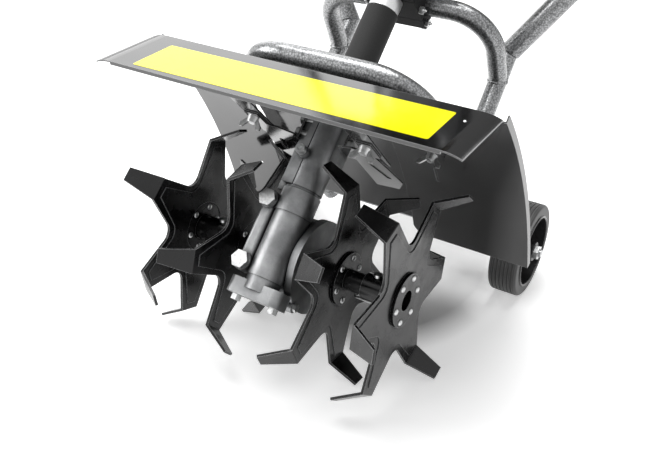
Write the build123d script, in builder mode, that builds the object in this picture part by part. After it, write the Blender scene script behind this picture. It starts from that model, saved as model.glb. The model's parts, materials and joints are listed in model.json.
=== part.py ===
"""Mini tiller: worm gearbox, four tine stars, fender, tube frame with wheels, engine and handlebars.

Millimetres. +Z is up, the machine faces -Y, and the origin lies on the floor under the middle of its box.
"""

import os
from math import asin, cos, hypot, pi, radians, sin

from build123d import *

os.makedirs("parts", exist_ok=True)

# Fits
running_gap = 0.05
seat_gap = 0.05
free_gap = 0.4

# Drive line: the tube leans back and passes in front of the axle
drive_tilt = 42.5
centre_distance = 45.0
drive_tube_r = 14.0
drive_tube_wall = 1.5
drive_tube_bottom = 82.0
drive_tube_top = 350.0
drive_shaft_r = 4.5
sleeve_r = 18.0
sleeve_top = 278.0
collar_r = 17.0
collar_length = 16.0

# Gear case
drum_r = 48.0
drum_left = 22.0
cover_seat = 19.0
cover_thickness = 9.0
cover_r = 51.0
cover_lug_r = 6.5
cover_lug_depth = 11.0
cover_lug_turns = (72.0, 160.0, 245.0)
cover_screw_r = 2.5
cover_screw_across_flats = 8.0
cover_screw_head = 4.0
cover_screw_grip = 8.0
cavity_r = 38.0
cavity_left = 16.0
side_boss_r = 21.0
side_boss_end = 29.0
barrel_r = 19.3
barrel_foot_r = 18.2
barrel_foot_top = -35.0
barrel_collar_r = 20.5
barrel_collar_bottom = 36.0
barrel_bottom = -50.0
barrel_top = 64.5
neck_groove_r = 18.6
neck_groove_width = 3.5
neck_r = 20.0
neck_top = 158.0
worm_bore_r = 16.0
worm_bore_top = 62.0
shaft_passage_r = 9.0
ear_outer = 26.5
ear_inner = 15.0
ear_depth = 12.0
ear_bottom = 58.0
ear_top = 150.0
pad_bottom = 100.0
pad_top = 145.0
pad_depth = 18.0
strip_front = 19.4
strip_bottom_x = 18.2
strip_top_x = 11.4
strip_top = 138.0
neck_slit_x = 4.9
neck_slit_width = 1.2
neck_screw_at = 98.0
neck_screw_boss_r = 5.7
neck_screw_boss_front = 28.0
plug_at = (-26.0, 43.0)
plug_x = 25.0
plug_boss_r = 10.0
plug_boss_height = 15.5
plug_across_flats = 17.0
plug_head = 6.0
plug_shank_r = 5.0
plug_shank = 9.0
plug_rib_width = 15.0
plug_rib_front = 13.0
plug_rib_rear = 6.0
plug_rib_round = 4.0
cap_bolt_x = 22.5
cap_ear_r = 9.0
cap_depth = 30.0
cap_flange = 8.0
cap_thickness = 9.0
cap_bolt_r = 3.0
cap_bolt_head = 6.0
cap_bolt_across_flats = 10.0
cap_bolt_grip = 4.0

# Worm, wheel, output shaft and bearings
worm_r = 12.6
worm_root_r = 9.5
worm_half_length = 24.0
worm_shaft_r = 7.0
worm_pitch = 6.8
worm_bearing_at = (-41.0, 45.0)
worm_bearing_width = 9.0
worm_wheel_r = 32.0
worm_wheel_root = 27.5
worm_wheel_width = 16.0
worm_teeth = 30
output_r = 9.0
output_end = 116.0
bearing_width = 11.0
bearing_r = 16.0

# Tine stars
star_inner_x = 59.0
star_outer_x = 127.0
star_sheet = 3.0
bend_r = 100.0
arm_bend_width = 26.0
valley_r = 54.0
valley_fillet = 14.0
tip_length = 36.0
tip_end_width = 15.0
tip_bend = 60.0
rib_margin = 7.0
rib_height = 0.9
star_phase = {"inner_right": 82.0, "outer_right": 47.6, "inner_left": 100.8, "outer_left": 68.0}
first_tip_out = {"inner_right": False, "outer_right": True, "inner_left": False, "outer_left": False}
hub_r = 11.0
hub_start = 31.0
hub_end = 112.0
flange_r = 29.0
flange_thickness = 4.0
sleeve_hub_r = 14.5
sleeve_hub_start = 86.0
pin_x = 98.0
pin_angle = 78.0
pin_r = 3.0
pin_reach = 19.0
pin_head_r = 5.0
pin_head = 3.0
clip_wire_r = 1.1
clip_leg = 24.0
clip_spread = 8.0
clip_from_end = 2.6
clip_bend = 3.4

# Sheet metal fender
sheet = 1.5
deck_half = 178.0
deck_flange = 19.0
deck_flange_drop = 3.5
deck_front = -55.0
deck_rear = 30.0
deck_top = 205.0
deck_lip = 3.8
apron_back = 149.0
apron_drop = 248.0
apron_sag = 17.0
wing_inner_right = 54.0
wing_inner_left = 113.0
wing_past_deck = 20.0
wing_hem = 8.0
right_corner = 18.0
left_corner = 34.0
wing_lip = 14.0
lip_joint = 0.02
wing_side_top = 0.04
corner_ease = 1.03
panel_strip_top = 0.05
left_wing_swing = -4.5
panel_overlap = 7.0
panel_drop = 263.0
panel_tube_gap = 6.0
wing_bolt_x = 101.0
wing_bolt_down = 0.425
wing_bolt_shank = 14.0
wing_bolt_past = 1.5
wing_slot_x = 98.0
wing_slot_down = 0.562
left_hole_x = 143.0
left_hole_down = 0.75
left_hole_r = 2.0
wing_bolt_r = 3.0
wing_slot_length = 27.0
wing_slot_width = 3.0
wing_slot_depth = 0.7
bracket_sheet = 2.0
bracket_at = 116.2
bracket_plate = ((0, -20), (18, -27), (40, -27), (53, 46), (42, 70), (12, 77), (12, 6), (0, 6))
bracket_tongue_width = 17.0
bracket_tongue_end = 9.0
bracket_tongue_length = 32.0
bracket_flange_depth = 12.0
bracket_flange_back = -4.0
bracket_slots = ((39.5, -41.0, 10.0), (34.0, 25.0, 36.0))
bracket_slot_width = 6.5
bracket_slot_turn = 72.0
bracket_bolt_at = (123.0, 138.0)
bracket_bolt_r = 3.0
bracket_bolt_head = 5.0
bracket_bolt_grip = 9.0
strut_width = 24.0
strut_lower = 4.0
strut_length = 170.0
wing_nut_r = 6.0
wing_nut_height = 7.0
wing_nut_taper = 8.0
wing_nut_ear = ((3, 1), (5, 1), (13, 9), (13, 13), (9, 13), (3, 6))
wing_nut_ear_half = 1.2
wing_nut_bolt_r = 3.0

# Tube frame and wheels
tube_r = 11.0
tube_wall = 1.5
frame_x = 106.0
loop_y = 59.5
loop_z = 202.0
loop_bend = 56.0
loop_arm_start = 58.0
wheel_axle_y = 240.5
wheel_axle_r = 5.0
arm_past_axle = 10.0
leg_tilt = 45.0
leg_joint_y = 171.0
leg_top_y = 290.0
arch_tube_offset = 36.0
arch_station = 314.0
arch_bend = 48.0
arch_foot_y = 265.0
wheel_r = 58.0
wheel_outer_x = 185.0
tyre_width = 35.0
tyre_depth = 12.0
tread_groove = 1.0
tread_grooves = 6
tread_spacing = 4.6
tyre_round = 4.0
rim_wall = 4.0
rim_hub_r = 12.0
wheel_hub_inner = 146.0
wheel_hub_out = 2.0
spacer_r = 8.0
axle_nut_height = 5.0
axle_nut_across_flats = 16.0
axle_end = 3.0

# Clamp between drive tube and arch tube
clamp_half_x = 31.0
clamp_length = 38.0
clamp_front_wall = 7.0
clamp_rear_wall = 6.0
clamp_split = 0.6
clamp_bolt_x = 26.0
clamp_bolt_spread = 14.2
clamp_bolt_r = 2.5
clamp_bolt_head = 4.0
clamp_bolt_across_flats = 8.0

# Handlebars, grips and controls
handle_r = 12.5
handle_wall = 2.2
handle_rise = Vector(0.57, 0.23, 0.79)
handle_first = 200.0
handle_climb_tilt = 60.0
handle_second = 400.0
handle_grip_tilt = 15.0
handle_third = 190.0
handle_bend = 70.0
grip_r = 16.0
grip_length = 118.0
grip_end_cap = 3.0
control_start = 34.0
control_length = 34.0
control_round = 6.0
control_half_width = 15.0
control_above = 17.0
control_below = 34.0
trigger_width = 9.0
trigger_pivot_r = 3.0
trigger_pivot_back = 24.0
trigger_pivot_down = 25.0
trigger_reach = 92.0
trigger_thickness = 9.0
trigger_slope = 13.0
trigger_slot_top = 16.0
switch_length = 12.0
switch_width = 8.0
switch_height = 5.0
switch_depth = 3.0
switch_travel = 6.0
switch_round = 1.5

# Engine on top of the drive tube
clutch_neck_start = 338.0
clutch_neck_r = 20.0
clutch_r = 46.0
clutch_wall = 4.0
clutch_cone_start = 354.0
clutch_cone_end = 382.0
engine_front = 402.0
drum_cup_r = 37.0
drum_cup_start = 378.0
drum_cup_wall = 2.5
crankcase_half_x = 44.0
crankcase_half_y = 46.0
crankcase_length = 68.0
crankcase_round = 14.0
cylinder_at = 436.0
cylinder_r = 27.0
cylinder_height = 72.0
fin_count = 8
fin_x = 84.0
fin_t = 66.0
fin_thickness = 2.4
fin_round = 6.0
port_back = 86.0
port_r = 12.0
post_r = 6.0
shroud_half_x = 50.0
shroud_length = 84.0
shroud_wall = 2.5
shroud_bottom = 60.0
shroud_top = 134.0
shroud_round = 16.0
louvre_count = 5
louvre_width = 4.0
louvre_length = 34.0
side_unit_gap = 4.0
side_unit_round = 10.0
muffler_depth = 34.0
muffler_height = 52.0
muffler_length = 50.0
carburettor_size = 32.0
carburettor_depth = 8.0
filter_depth = 30.0
filter_edge = 8.0
filter_height = 60.0
filter_length = 56.0
starter_r = 45.5
starter_round = 8.0
starter_vent_depth = 6.0
starter_depth = 42.0
starter_vents = 8
starter_vent_width = 7.0
tank_half_x = 56.0
tank_height = 60.0
tank_length = 92.0
tank_round = 15.0
cap_r = 18.0
cap_height = 13.0
cap_x = 30.0
cap_neck_r = 14.0
cap_neck = 5.0
cap_notches = 12
cap_notch_r = 2.0
pull_width = 46.0
pull_r = 7.0
pull_x = 30.0
pull_front = 24.0
pull_boss_height = 26.0
pull_boss_r = 9.0
pull_stem = 14.0
pull_stem_r = 5.0


# The tines and the wheels stand on the floor, and the origin lies under the middle of the machine
tine_reach = hypot(
    bend_r + tip_length * cos(radians(tip_bend)) + star_sheet / 2 * sin(radians(tip_bend)),
    tip_end_width / 2,
)
rise = handle_rise.normalized()
climb = Vector(0, cos(radians(handle_climb_tilt)), sin(radians(handle_climb_tilt)))
grip_dir = Vector(0, cos(radians(handle_grip_tilt)), sin(radians(handle_grip_tilt)))
handle_reach = rise * handle_first + climb * handle_second + grip_dir * (handle_third + grip_end_cap)
rear_reach = leg_top_y + handle_reach.Y + grip_r * grip_dir.Z
axle_height = tine_reach
axle_y = (tine_reach - rear_reach) / 2
wheel_axle_z = wheel_r - axle_height


def spot(x, y, z):
    """World point from sizes measured from the middle of the tine axle."""
    return Vector(x, axle_y + y, axle_height + z)


def cross(x, y=0, z=0, turn=0):
    """Plane square to the axle: its first axis runs back and its second up, unless turned."""
    first = Vector(0, cos(radians(turn)), sin(radians(turn)))
    return Plane(origin=spot(x, y, z), x_dir=first, z_dir=(1, 0, 0))


drive_dir = Vector(0, cos(radians(drive_tilt)), sin(radians(drive_tilt)))
drive_back = Vector(0, sin(radians(drive_tilt)), -cos(radians(drive_tilt)))
drive_foot = spot(0, 0, 0) - drive_back * centre_distance


def drive_point(x, back, along):
    """World point from sizes in the drive tube's own frame."""
    return drive_foot + Vector(x, 0, 0) + drive_back * back + drive_dir * along


def station(along, x=0, back=0):
    """Plane square to the drive tube: first axis +X, second axis down and back."""
    return Plane(origin=drive_point(x, back, along), x_dir=(1, 0, 0), z_dir=drive_dir)


def flank(x, back, along):
    """Plane facing forward, square to the tube's own back direction."""
    return Plane(origin=drive_point(x, back, along), x_dir=(1, 0, 0), z_dir=-drive_back)


def save(piece, name):
    """Labels a finished piece and writes it as a file of its own."""
    piece.part.label = name
    export_step(piece.part, f"parts/{name}.step")


def hexagon(across_flats):
    """Hexagon for bolt heads and nuts, added to the open sketch."""
    return RegularPolygon(across_flats / 2, 6, major_radius=False)


def ring(plane, outer, inner, width):
    """Plain ring that starts on a plane, added to the open part."""
    with BuildSketch(plane) as face:
        Circle(outer)
        Circle(inner, mode=Mode.SUBTRACT)
    extrude(face.sketch, amount=width)


def round_bar(start, end, radius, mode=Mode.ADD):
    """Straight round bar between two points, added to or cut from the open part."""
    with BuildSketch(Plane(origin=start, z_dir=end - start)) as face:
        Circle(radius)
    extrude(face.sketch, amount=(end - start).length, mode=mode)


# Gear case: cast drum round the worm wheel, barrel round the worm and neck that grips the drive tube
def lug_point(turn, x):
    """Middle of a cover lug: its turn about the axle away from the barrel, and its place along the axle."""
    outward = -drive_back * cos(radians(turn)) - drive_dir * sin(radians(turn))
    return spot(x, 0, 0) + outward * cover_r


with BuildPart() as gear_case:
    with BuildSketch(cross(-drum_left)):
        Circle(drum_r)
    extrude(amount=drum_left + cover_seat)
    with BuildSketch(cross(-side_boss_end)):
        Circle(side_boss_r)
    extrude(amount=side_boss_end - drum_left)
    groove_bottom = barrel_top - neck_groove_width
    for low, high, radius in (
        (barrel_bottom, barrel_foot_top, barrel_foot_r), (barrel_foot_top, barrel_collar_bottom, barrel_r),
        (barrel_collar_bottom, groove_bottom, barrel_collar_r), (groove_bottom, barrel_top, neck_groove_r),
        (barrel_top, neck_top, neck_r),
    ):
        with BuildSketch(station(low)):
            Circle(radius)
        extrude(amount=high - low)
    with BuildSketch(station(barrel_bottom)):
        RectangleRounded(2 * (cap_bolt_x + cap_ear_r), cap_depth, cap_ear_r)
    extrude(amount=cap_flange)
    for turn in cover_lug_turns:
        round_bar(lug_point(turn, cover_seat - cover_lug_depth), lug_point(turn, cover_seat), cover_lug_r)
    strip_places = ((0, barrel_top), (-strip_bottom_x, barrel_top), (-strip_top_x, strip_top), (0, strip_top))
    strip = [drive_point(x, -strip_front, along) for x, along in strip_places]
    extrude(Face(Wire.make_polygon(strip)), amount=strip_front, dir=drive_back)
    slit_length = neck_top - barrel_top
    with BuildSketch(flank(-neck_slit_x, -neck_r - free_gap, barrel_top + slit_length / 2)):
        Rectangle(neck_slit_width, slit_length)
    extrude(amount=drive_tube_r - neck_r, mode=Mode.SUBTRACT)
    ear_width = ear_outer - ear_inner
    with BuildSketch(station(ear_bottom, -ear_inner - ear_width / 2)):
        Rectangle(ear_width, ear_depth)
    extrude(amount=ear_top - ear_bottom)
    with BuildSketch(station(pad_bottom, ear_inner + ear_width / 2)):
        Rectangle(ear_width, pad_depth)
    extrude(amount=pad_top - pad_bottom)
    with BuildSketch(flank(-neck_slit_x, 0, neck_screw_at)):
        Circle(neck_screw_boss_r)
    extrude(amount=neck_screw_boss_front)
    for along in plug_at:
        with BuildSketch(flank(-plug_x, 0, along)):
            Circle(plug_boss_r)
        extrude(amount=plug_boss_height)
    with BuildSketch(station(plug_at[0], -plug_x, (plug_rib_rear - plug_rib_front) / 2)):
        RectangleRounded(plug_rib_width, plug_rib_rear + plug_rib_front, plug_rib_round)
    extrude(amount=plug_at[1] - plug_at[0])
    with BuildSketch(cross(-cavity_left)):
        Circle(cavity_r)
    extrude(amount=cavity_left + cover_seat, mode=Mode.SUBTRACT)
    with BuildSketch(cross(-side_boss_end)):
        Circle(bearing_r + seat_gap)
    extrude(amount=side_boss_end, mode=Mode.SUBTRACT)
    with BuildSketch(station(barrel_bottom)):
        Circle(worm_bore_r + seat_gap)
    extrude(amount=worm_bore_top - barrel_bottom, mode=Mode.SUBTRACT)
    with BuildSketch(station(worm_bore_top)):
        Circle(shaft_passage_r)
    extrude(amount=drive_tube_bottom - worm_bore_top, mode=Mode.SUBTRACT)
    with BuildSketch(station(drive_tube_bottom)):
        Circle(drive_tube_r + seat_gap)
    extrude(amount=neck_top - drive_tube_bottom, mode=Mode.SUBTRACT)
    for along in plug_at:
        with BuildSketch(flank(-plug_x, -plug_boss_height, along)):
            Circle(plug_shank_r + seat_gap)
        extrude(amount=-plug_shank - free_gap, mode=Mode.SUBTRACT)
    with BuildSketch(station(barrel_bottom)):
        with Locations((-cap_bolt_x, 0), (cap_bolt_x, 0)):
            Circle(cap_bolt_r + seat_gap)
    extrude(amount=cap_bolt_grip + free_gap, mode=Mode.SUBTRACT)
    for side in (-1, 1):
        for along in bracket_bolt_at:
            face = drive_point(side * ear_outer, bracket_flange_back, along)
            depth = Vector(side * bracket_bolt_grip, 0, 0)
            round_bar(face - depth, face + depth, bracket_bolt_r + seat_gap, Mode.SUBTRACT)
    for turn in cover_lug_turns:
        screw_end = lug_point(turn, cover_seat - cover_screw_grip - free_gap)
        round_bar(screw_end, lug_point(turn, cover_seat), cover_screw_r + seat_gap, Mode.SUBTRACT)
save(gear_case, "gear_case")

# Round cover that closes the drum on the right and carries the right bearing
with BuildPart() as gear_cover:
    with BuildSketch(cross(cover_seat)):
        Circle(cover_r)
    extrude(amount=cover_thickness)
    for turn in cover_lug_turns:
        lug_face = lug_point(turn, cover_seat + cover_thickness)
        round_bar(lug_point(turn, cover_seat), lug_face, cover_lug_r)
        round_bar(lug_point(turn, cover_seat), lug_face, cover_screw_r + seat_gap, Mode.SUBTRACT)
    with BuildSketch(cross(cover_seat)):
        Circle(side_boss_r)
    extrude(amount=side_boss_end - cover_seat)
    with BuildSketch(cross(cover_seat)):
        Circle(bearing_r + seat_gap)
    extrude(amount=side_boss_end - cover_seat, mode=Mode.SUBTRACT)
    with BuildSketch(station(barrel_bottom)):
        Circle(barrel_collar_r + seat_gap)
    extrude(amount=barrel_top - barrel_bottom, mode=Mode.SUBTRACT)
save(gear_cover, "gear_cover")

# Flat cap under the worm barrel with two hex bolts through its ears
with BuildPart() as worm_cap:
    with BuildSketch(station(barrel_bottom)):
        RectangleRounded(2 * (cap_bolt_x + cap_ear_r), cap_depth, cap_ear_r)
        with Locations((-cap_bolt_x, 0), (cap_bolt_x, 0)):
            Circle(cap_bolt_r + seat_gap, mode=Mode.SUBTRACT)
    extrude(amount=-cap_thickness)
save(worm_cap, "worm_cap")

# Hex filler and level plugs on the left flank
with BuildPart() as oil_plugs:
    for along in plug_at:
        face = flank(-plug_x, -plug_boss_height, along)
        with BuildSketch(face):
            hexagon(plug_across_flats)
        extrude(amount=plug_head)
        with BuildSketch(face):
            Circle(plug_shank_r)
        extrude(amount=-plug_shank)
save(oil_plugs, "oil_plugs")

# Sealed ball bearings of the output shaft and of the worm, each drawn as one ring
with BuildPart() as shaft_bearings:
    for start in (-side_boss_end, side_boss_end - bearing_width):
        ring(cross(start), bearing_r, output_r + running_gap, bearing_width)
save(shaft_bearings, "shaft_bearings")

with BuildPart() as worm_bearings:
    for along in worm_bearing_at:
        start = station(along - worm_bearing_width / 2)
        ring(start, worm_bore_r, worm_shaft_r + running_gap, worm_bearing_width)
save(worm_bearings, "worm_bearings")

# Worm on its shaft, with the thread drawn as ridges of the same pitch
with BuildPart() as worm_shaft:
    shaft_low = worm_bearing_at[0] - worm_bearing_width / 2
    shaft_high = worm_bearing_at[1] + worm_bearing_width / 2
    with BuildSketch(station(shaft_low)):
        Circle(worm_shaft_r)
    extrude(amount=shaft_high - shaft_low)
    with BuildSketch(station(-worm_half_length)):
        Circle(worm_root_r)
    extrude(amount=2 * worm_half_length)
    ridge_count = int(2 * worm_half_length / worm_pitch)
    ridge_half = worm_pitch / 4
    for index in range(ridge_count):
        middle = (index - (ridge_count - 1) / 2) * worm_pitch
        with BuildSketch(station(middle - ridge_half)):
            Circle(worm_r)
        extrude(amount=2 * ridge_half)
    with BuildSketch(station(shaft_high)):
        Circle(worm_shaft_r)
    extrude(amount=worm_bore_top - shaft_high)
    with BuildSketch(station(shaft_high)):
        Rectangle(drive_shaft_r + seat_gap, drive_shaft_r + seat_gap)
    extrude(amount=worm_bore_top - shaft_high, mode=Mode.SUBTRACT)
save(worm_shaft, "worm_shaft")

# Drive shaft with a square end that sits in the worm shaft
with BuildPart() as drive_shaft:
    with BuildSketch(station(shaft_high + free_gap)):
        Rectangle(drive_shaft_r, drive_shaft_r)
    extrude(amount=worm_bore_top - shaft_high)
    with BuildSketch(station(worm_bore_top + free_gap)):
        Circle(drive_shaft_r)
    extrude(amount=drum_cup_start + drum_cup_wall - worm_bore_top - free_gap)
save(drive_shaft, "drive_shaft")

with BuildPart() as clutch_drum:
    cup_end = engine_front - 2 * free_gap - drum_cup_wall
    ring(station(drum_cup_start), drum_cup_r, drive_shaft_r + seat_gap, drum_cup_wall)
    ring(station(drum_cup_start), drum_cup_r, drum_cup_r - drum_cup_wall, cup_end - drum_cup_start)
save(clutch_drum, "clutch_drum")

# Bronze wheel on the output shaft, its teeth clear of the worm
with BuildPart() as worm_wheel:
    with BuildSketch(cross(-worm_wheel_width / 2)):
        Circle(worm_wheel_r)
        Circle(output_r + seat_gap, mode=Mode.SUBTRACT)
        tooth_space = pi * worm_wheel_root / worm_teeth
        with PolarLocations((worm_wheel_r + worm_wheel_root) / 2, worm_teeth):
            Rectangle(worm_wheel_r - worm_wheel_root, tooth_space, mode=Mode.SUBTRACT)
    extrude(amount=worm_wheel_width)
save(worm_wheel, "worm_wheel")

pin_dir = Vector(0, cos(radians(pin_angle)), sin(radians(pin_angle)))


def pin_hole(x):
    """Cuts the clevis pin's hole through the open part."""
    middle = spot(x, 0, 0)
    drill = pin_dir * pin_reach * 2
    round_bar(middle - drill, middle + drill, pin_r + seat_gap, Mode.SUBTRACT)


with BuildPart() as output_shaft:
    round_bar(spot(-output_end, 0, 0), spot(output_end, 0, 0), output_r)
    for side in (-1, 1):
        pin_hole(side * pin_x)
save(output_shaft, "output_shaft")


def star_points(half_width, inner, reach):
    """Corner points of a six-armed star whose first arm lies on the first axis."""
    points = []
    for arm in range(6):
        turn = 60 * arm
        for corner in (-half_width, half_width):
            points.append(Vector(reach, corner, 0).rotate(Axis.Z, turn))
        points.append(Vector(inner, 0, 0).rotate(Axis.Z, turn + 30))
    return [(point.X, point.Y) for point in points]


def star_sketch(plane, half_width, inner, reach, rounding, bore):
    """Flat star with rounded valleys and a centre hole."""
    with BuildSketch(plane) as outline:
        with BuildLine():
            Polyline(star_points(half_width, inner, reach), close=True)
        make_face()
        valleys = outline.vertices().filter_by(lambda vertex: vertex.center().length < (inner + reach) / 2)
        fillet(valleys, radius=rounding)
        Circle(bore, mode=Mode.SUBTRACT)
    return outline.sketch


def tine_star(name, x, bore):
    """Pressed star with six bent tips, alternately out and in along the axle."""
    phase = star_phase[name]
    out = 1 if x > 0 else -1
    middle = spot(x, 0, 0)
    with BuildPart() as star:
        plate = star_sketch(
            cross(x - star_sheet / 2, turn=phase),
            arm_bend_width / 2, valley_r, bend_r, valley_fillet, bore,
        )
        extrude(plate, amount=star_sheet)
        for face in (-1, 1):
            raised = star_sketch(
                cross(x + face * star_sheet / 2, turn=phase),
                arm_bend_width / 2 - rib_margin, valley_r - rib_margin, bend_r - rib_margin,
                valley_fillet, flange_r,
            )
            extrude(raised, amount=face * rib_height)
        for arm in range(6):
            turn = radians(phase + 60 * arm)
            radial = Vector(0, cos(turn), sin(turn))
            tangent = Vector(0, -sin(turn), cos(turn))
            tip_out = (arm % 2 == 0) == first_tip_out[name]
            sideways = Vector(out if tip_out else -out, 0, 0)
            along = radial * cos(radians(tip_bend)) + sideways * sin(radians(tip_bend))
            bend = middle + radial * bend_r
            with BuildSketch(Plane(origin=bend, x_dir=along, z_dir=along.cross(tangent))):
                with BuildLine():
                    Polyline(
                        (0, -arm_bend_width / 2),
                        (tip_length, -tip_end_width / 2),
                        (tip_length, tip_end_width / 2),
                        (0, arm_bend_width / 2),
                        close=True,
                    )
                make_face()
            extrude(amount=star_sheet / 2, both=True)
            half_roll = tangent * (arm_bend_width / 2)
            round_bar(bend - half_roll, bend + half_roll, star_sheet / 2)
    save(star, "tine_" + name)


tine_star("inner_right", star_inner_x, hub_r + seat_gap)
tine_star("inner_left", -star_inner_x, hub_r + seat_gap)
tine_star("outer_right", star_outer_x, sleeve_hub_r + seat_gap)
tine_star("outer_left", -star_outer_x, sleeve_hub_r + seat_gap)


def hub(side, start, end, star_x, outer, bore):
    """Hub tube with the flange that the star is riveted to, added to the open part."""
    low, high = sorted((side * start, side * end))
    flange = star_x + star_sheet / 2
    flange_low, flange_high = sorted((side * flange, side * (flange + flange_thickness)))
    round_bar(spot(low, 0, 0), spot(high, 0, 0), outer)
    round_bar(spot(flange_low, 0, 0), spot(flange_high, 0, 0), flange_r - free_gap)
    past = flange_thickness
    round_bar(spot(low - past, 0, 0), spot(high + past, 0, 0), bore, Mode.SUBTRACT)


with BuildPart() as inner_hubs:
    for side in (-1, 1):
        hub(side, hub_start, hub_end, star_inner_x, hub_r, output_r + seat_gap)
        pin_hole(side * pin_x)
with BuildPart() as outer_hubs:
    for side in (-1, 1):
        end = star_outer_x + star_sheet / 2 + flange_thickness
        hub(side, sleeve_hub_start, end, star_outer_x, sleeve_hub_r, hub_r + seat_gap)
        pin_hole(side * pin_x)
save(inner_hubs, "inner_hubs")
save(outer_hubs, "outer_hubs")

# Clevis pins and the hairpin clips that hold them
with BuildPart() as tine_pins:
    for side in (-1, 1):
        middle = spot(side * pin_x, 0, 0)
        round_bar(middle - pin_dir * pin_reach, middle + pin_dir * sleeve_hub_r, pin_r)
        round_bar(middle + pin_dir * sleeve_hub_r, middle + pin_dir * (sleeve_hub_r + pin_head), pin_head_r)
        hole = middle - pin_dir * (pin_reach - clip_from_end)
        across = Vector(pin_r * 2, 0, 0)
        round_bar(hole - across, hole + across, clip_wire_r + seat_gap, Mode.SUBTRACT)
save(tine_pins, "tine_pins")

with BuildPart() as hairpin_clips:
    for side in (-1, 1):
        hole = spot(side * pin_x, 0, 0) - pin_dir * (pin_reach - clip_from_end)
        inward = Vector(-side, 0, 0)
        front = pin_dir.cross(Vector(1, 0, 0))
        far = hole + inward * clip_leg
        route = [
            hole - inward * pin_r * 2,
            far,
            far + front * clip_spread,
            hole + front * (pin_r + clip_wire_r + free_gap) + inward * pin_r,
        ]
        with BuildLine():
            FilletPolyline(*route, radius=clip_bend)
        with BuildSketch(Plane(origin=route[0], z_dir=route[1] - route[0])):
            Circle(clip_wire_r)
        sweep()
save(hairpin_clips, "hairpin_clips")

# Drive tube with its sleeve and collar
with BuildPart() as drive_tube:
    tube_bore = drive_tube_r - drive_tube_wall
    ring(station(drive_tube_bottom), drive_tube_r, tube_bore, drive_tube_top - drive_tube_bottom)
save(drive_tube, "drive_tube")

with BuildPart() as tube_sleeve:
    ring(station(neck_top), sleeve_r, drive_tube_r + seat_gap, sleeve_top - neck_top)
save(tube_sleeve, "tube_sleeve")

with BuildPart() as tube_collar:
    ring(station(sleeve_top), collar_r, drive_tube_r + seat_gap, collar_length)
save(tube_collar, "tube_collar")

# Clamp in three blocks that ties the drive tube to the arch tube behind it
clamp_start = arch_station - clamp_length / 2
clamp_rear_face = arch_tube_offset + tube_r + clamp_rear_wall


def clamp_holes():
    """Cuts the four bolt holes through the open clamp block."""
    for side in (-1, 1):
        for shift in (-clamp_bolt_spread, clamp_bolt_spread):
            start = drive_point(side * clamp_bolt_x, -clamp_rear_face, arch_station + shift)
            end = start + drive_back * clamp_rear_face * 3
            round_bar(start, end, clamp_bolt_r + seat_gap, Mode.SUBTRACT)


def clamp_bores():
    """Cuts the seats of both tubes out of the open clamp block."""
    tube_start = drive_point(0, 0, clamp_start - clamp_length)
    round_bar(tube_start, tube_start + drive_dir * clamp_length * 3, drive_tube_r + seat_gap, Mode.SUBTRACT)
    arch_left = drive_point(-2 * clamp_half_x, arch_tube_offset, arch_station)
    arch_right = drive_point(2 * clamp_half_x, arch_tube_offset, arch_station)
    round_bar(arch_left, arch_right, tube_r + seat_gap, Mode.SUBTRACT)


def clamp_block(front, rear):
    """Plain block of the clamp between two depths, added to the open part."""
    with BuildSketch(station(clamp_start, 0, (front + rear) / 2)) as face:
        RectangleRounded(2 * clamp_half_x, rear - front, clamp_split)
    extrude(face.sketch, amount=clamp_length)


clamp_ear_front = -clamp_split / 2 - clamp_front_wall

with BuildPart() as clamp_front:
    clamp_block(clamp_ear_front, -clamp_split / 2)
    with BuildSketch(station(clamp_start)):
        Circle(drive_tube_r + clamp_front_wall)
        with Locations((0, clamp_half_x - clamp_split / 2)):
            Rectangle(4 * clamp_half_x, 2 * clamp_half_x, mode=Mode.SUBTRACT)
    extrude(amount=clamp_length)
    clamp_bores()
    clamp_holes()
save(clamp_front, "clamp_front")

with BuildPart() as clamp_body:
    clamp_block(clamp_split / 2, arch_tube_offset - clamp_split / 2)
    clamp_bores()
    clamp_holes()
save(clamp_body, "clamp_body")

with BuildPart() as clamp_rear:
    clamp_block(arch_tube_offset + clamp_split / 2, clamp_rear_face)
    clamp_bores()
    clamp_holes()
save(clamp_rear, "clamp_rear")

with BuildPart() as clamp_bolts:
    for side in (-1, 1):
        for shift in (-clamp_bolt_spread, clamp_bolt_spread):
            face = flank(side * clamp_bolt_x, clamp_ear_front, arch_station + shift)
            with BuildSketch(face):
                hexagon(clamp_bolt_across_flats)
            extrude(amount=clamp_bolt_head)
            with BuildSketch(face):
                Circle(clamp_bolt_r)
            extrude(amount=clamp_ear_front - clamp_rear_face - clamp_bolt_head)
    for side in (-1, 1):
        for shift in (-clamp_bolt_spread, clamp_bolt_spread):
            with BuildSketch(flank(side * clamp_bolt_x, clamp_rear_face, arch_station + shift)):
                hexagon(clamp_bolt_across_flats)
                Circle(clamp_bolt_r + seat_gap, mode=Mode.SUBTRACT)
            extrude(amount=-clamp_bolt_head)
save(clamp_bolts, "clamp_bolts")

# Flat deck of the fender with turned-down sides and front lip
deck_under = deck_top - sheet
deck_length = deck_rear - deck_front
flange_x = deck_half + deck_flange

with BuildPart() as fender_deck:
    with BuildSketch(Plane(origin=spot(0, deck_rear, 0), x_dir=(1, 0, 0), z_dir=(0, -1, 0))):
        with BuildLine():
            for level in (deck_top, deck_under):
                Line((-deck_half, level), (deck_half, level))
                for side in (-1, 1):
                    end = (side * flange_x, level - deck_flange_drop)
                    TangentArc((side * deck_half, level), end, tangent=(side, 0))
            for side in (-1, 1):
                end = (side * flange_x, deck_top - deck_flange_drop)
                Line(end, (side * flange_x, deck_under - deck_flange_drop))
        make_face()
    extrude(amount=deck_length)
    with BuildSketch(Plane(origin=spot(0, deck_front + sheet / 2, deck_top - deck_lip), z_dir=(0, 0, 1))):
        Rectangle(2 * deck_half, sheet)
    extrude(amount=deck_lip - sheet / 2)
save(fender_deck, "fender_deck")

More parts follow.
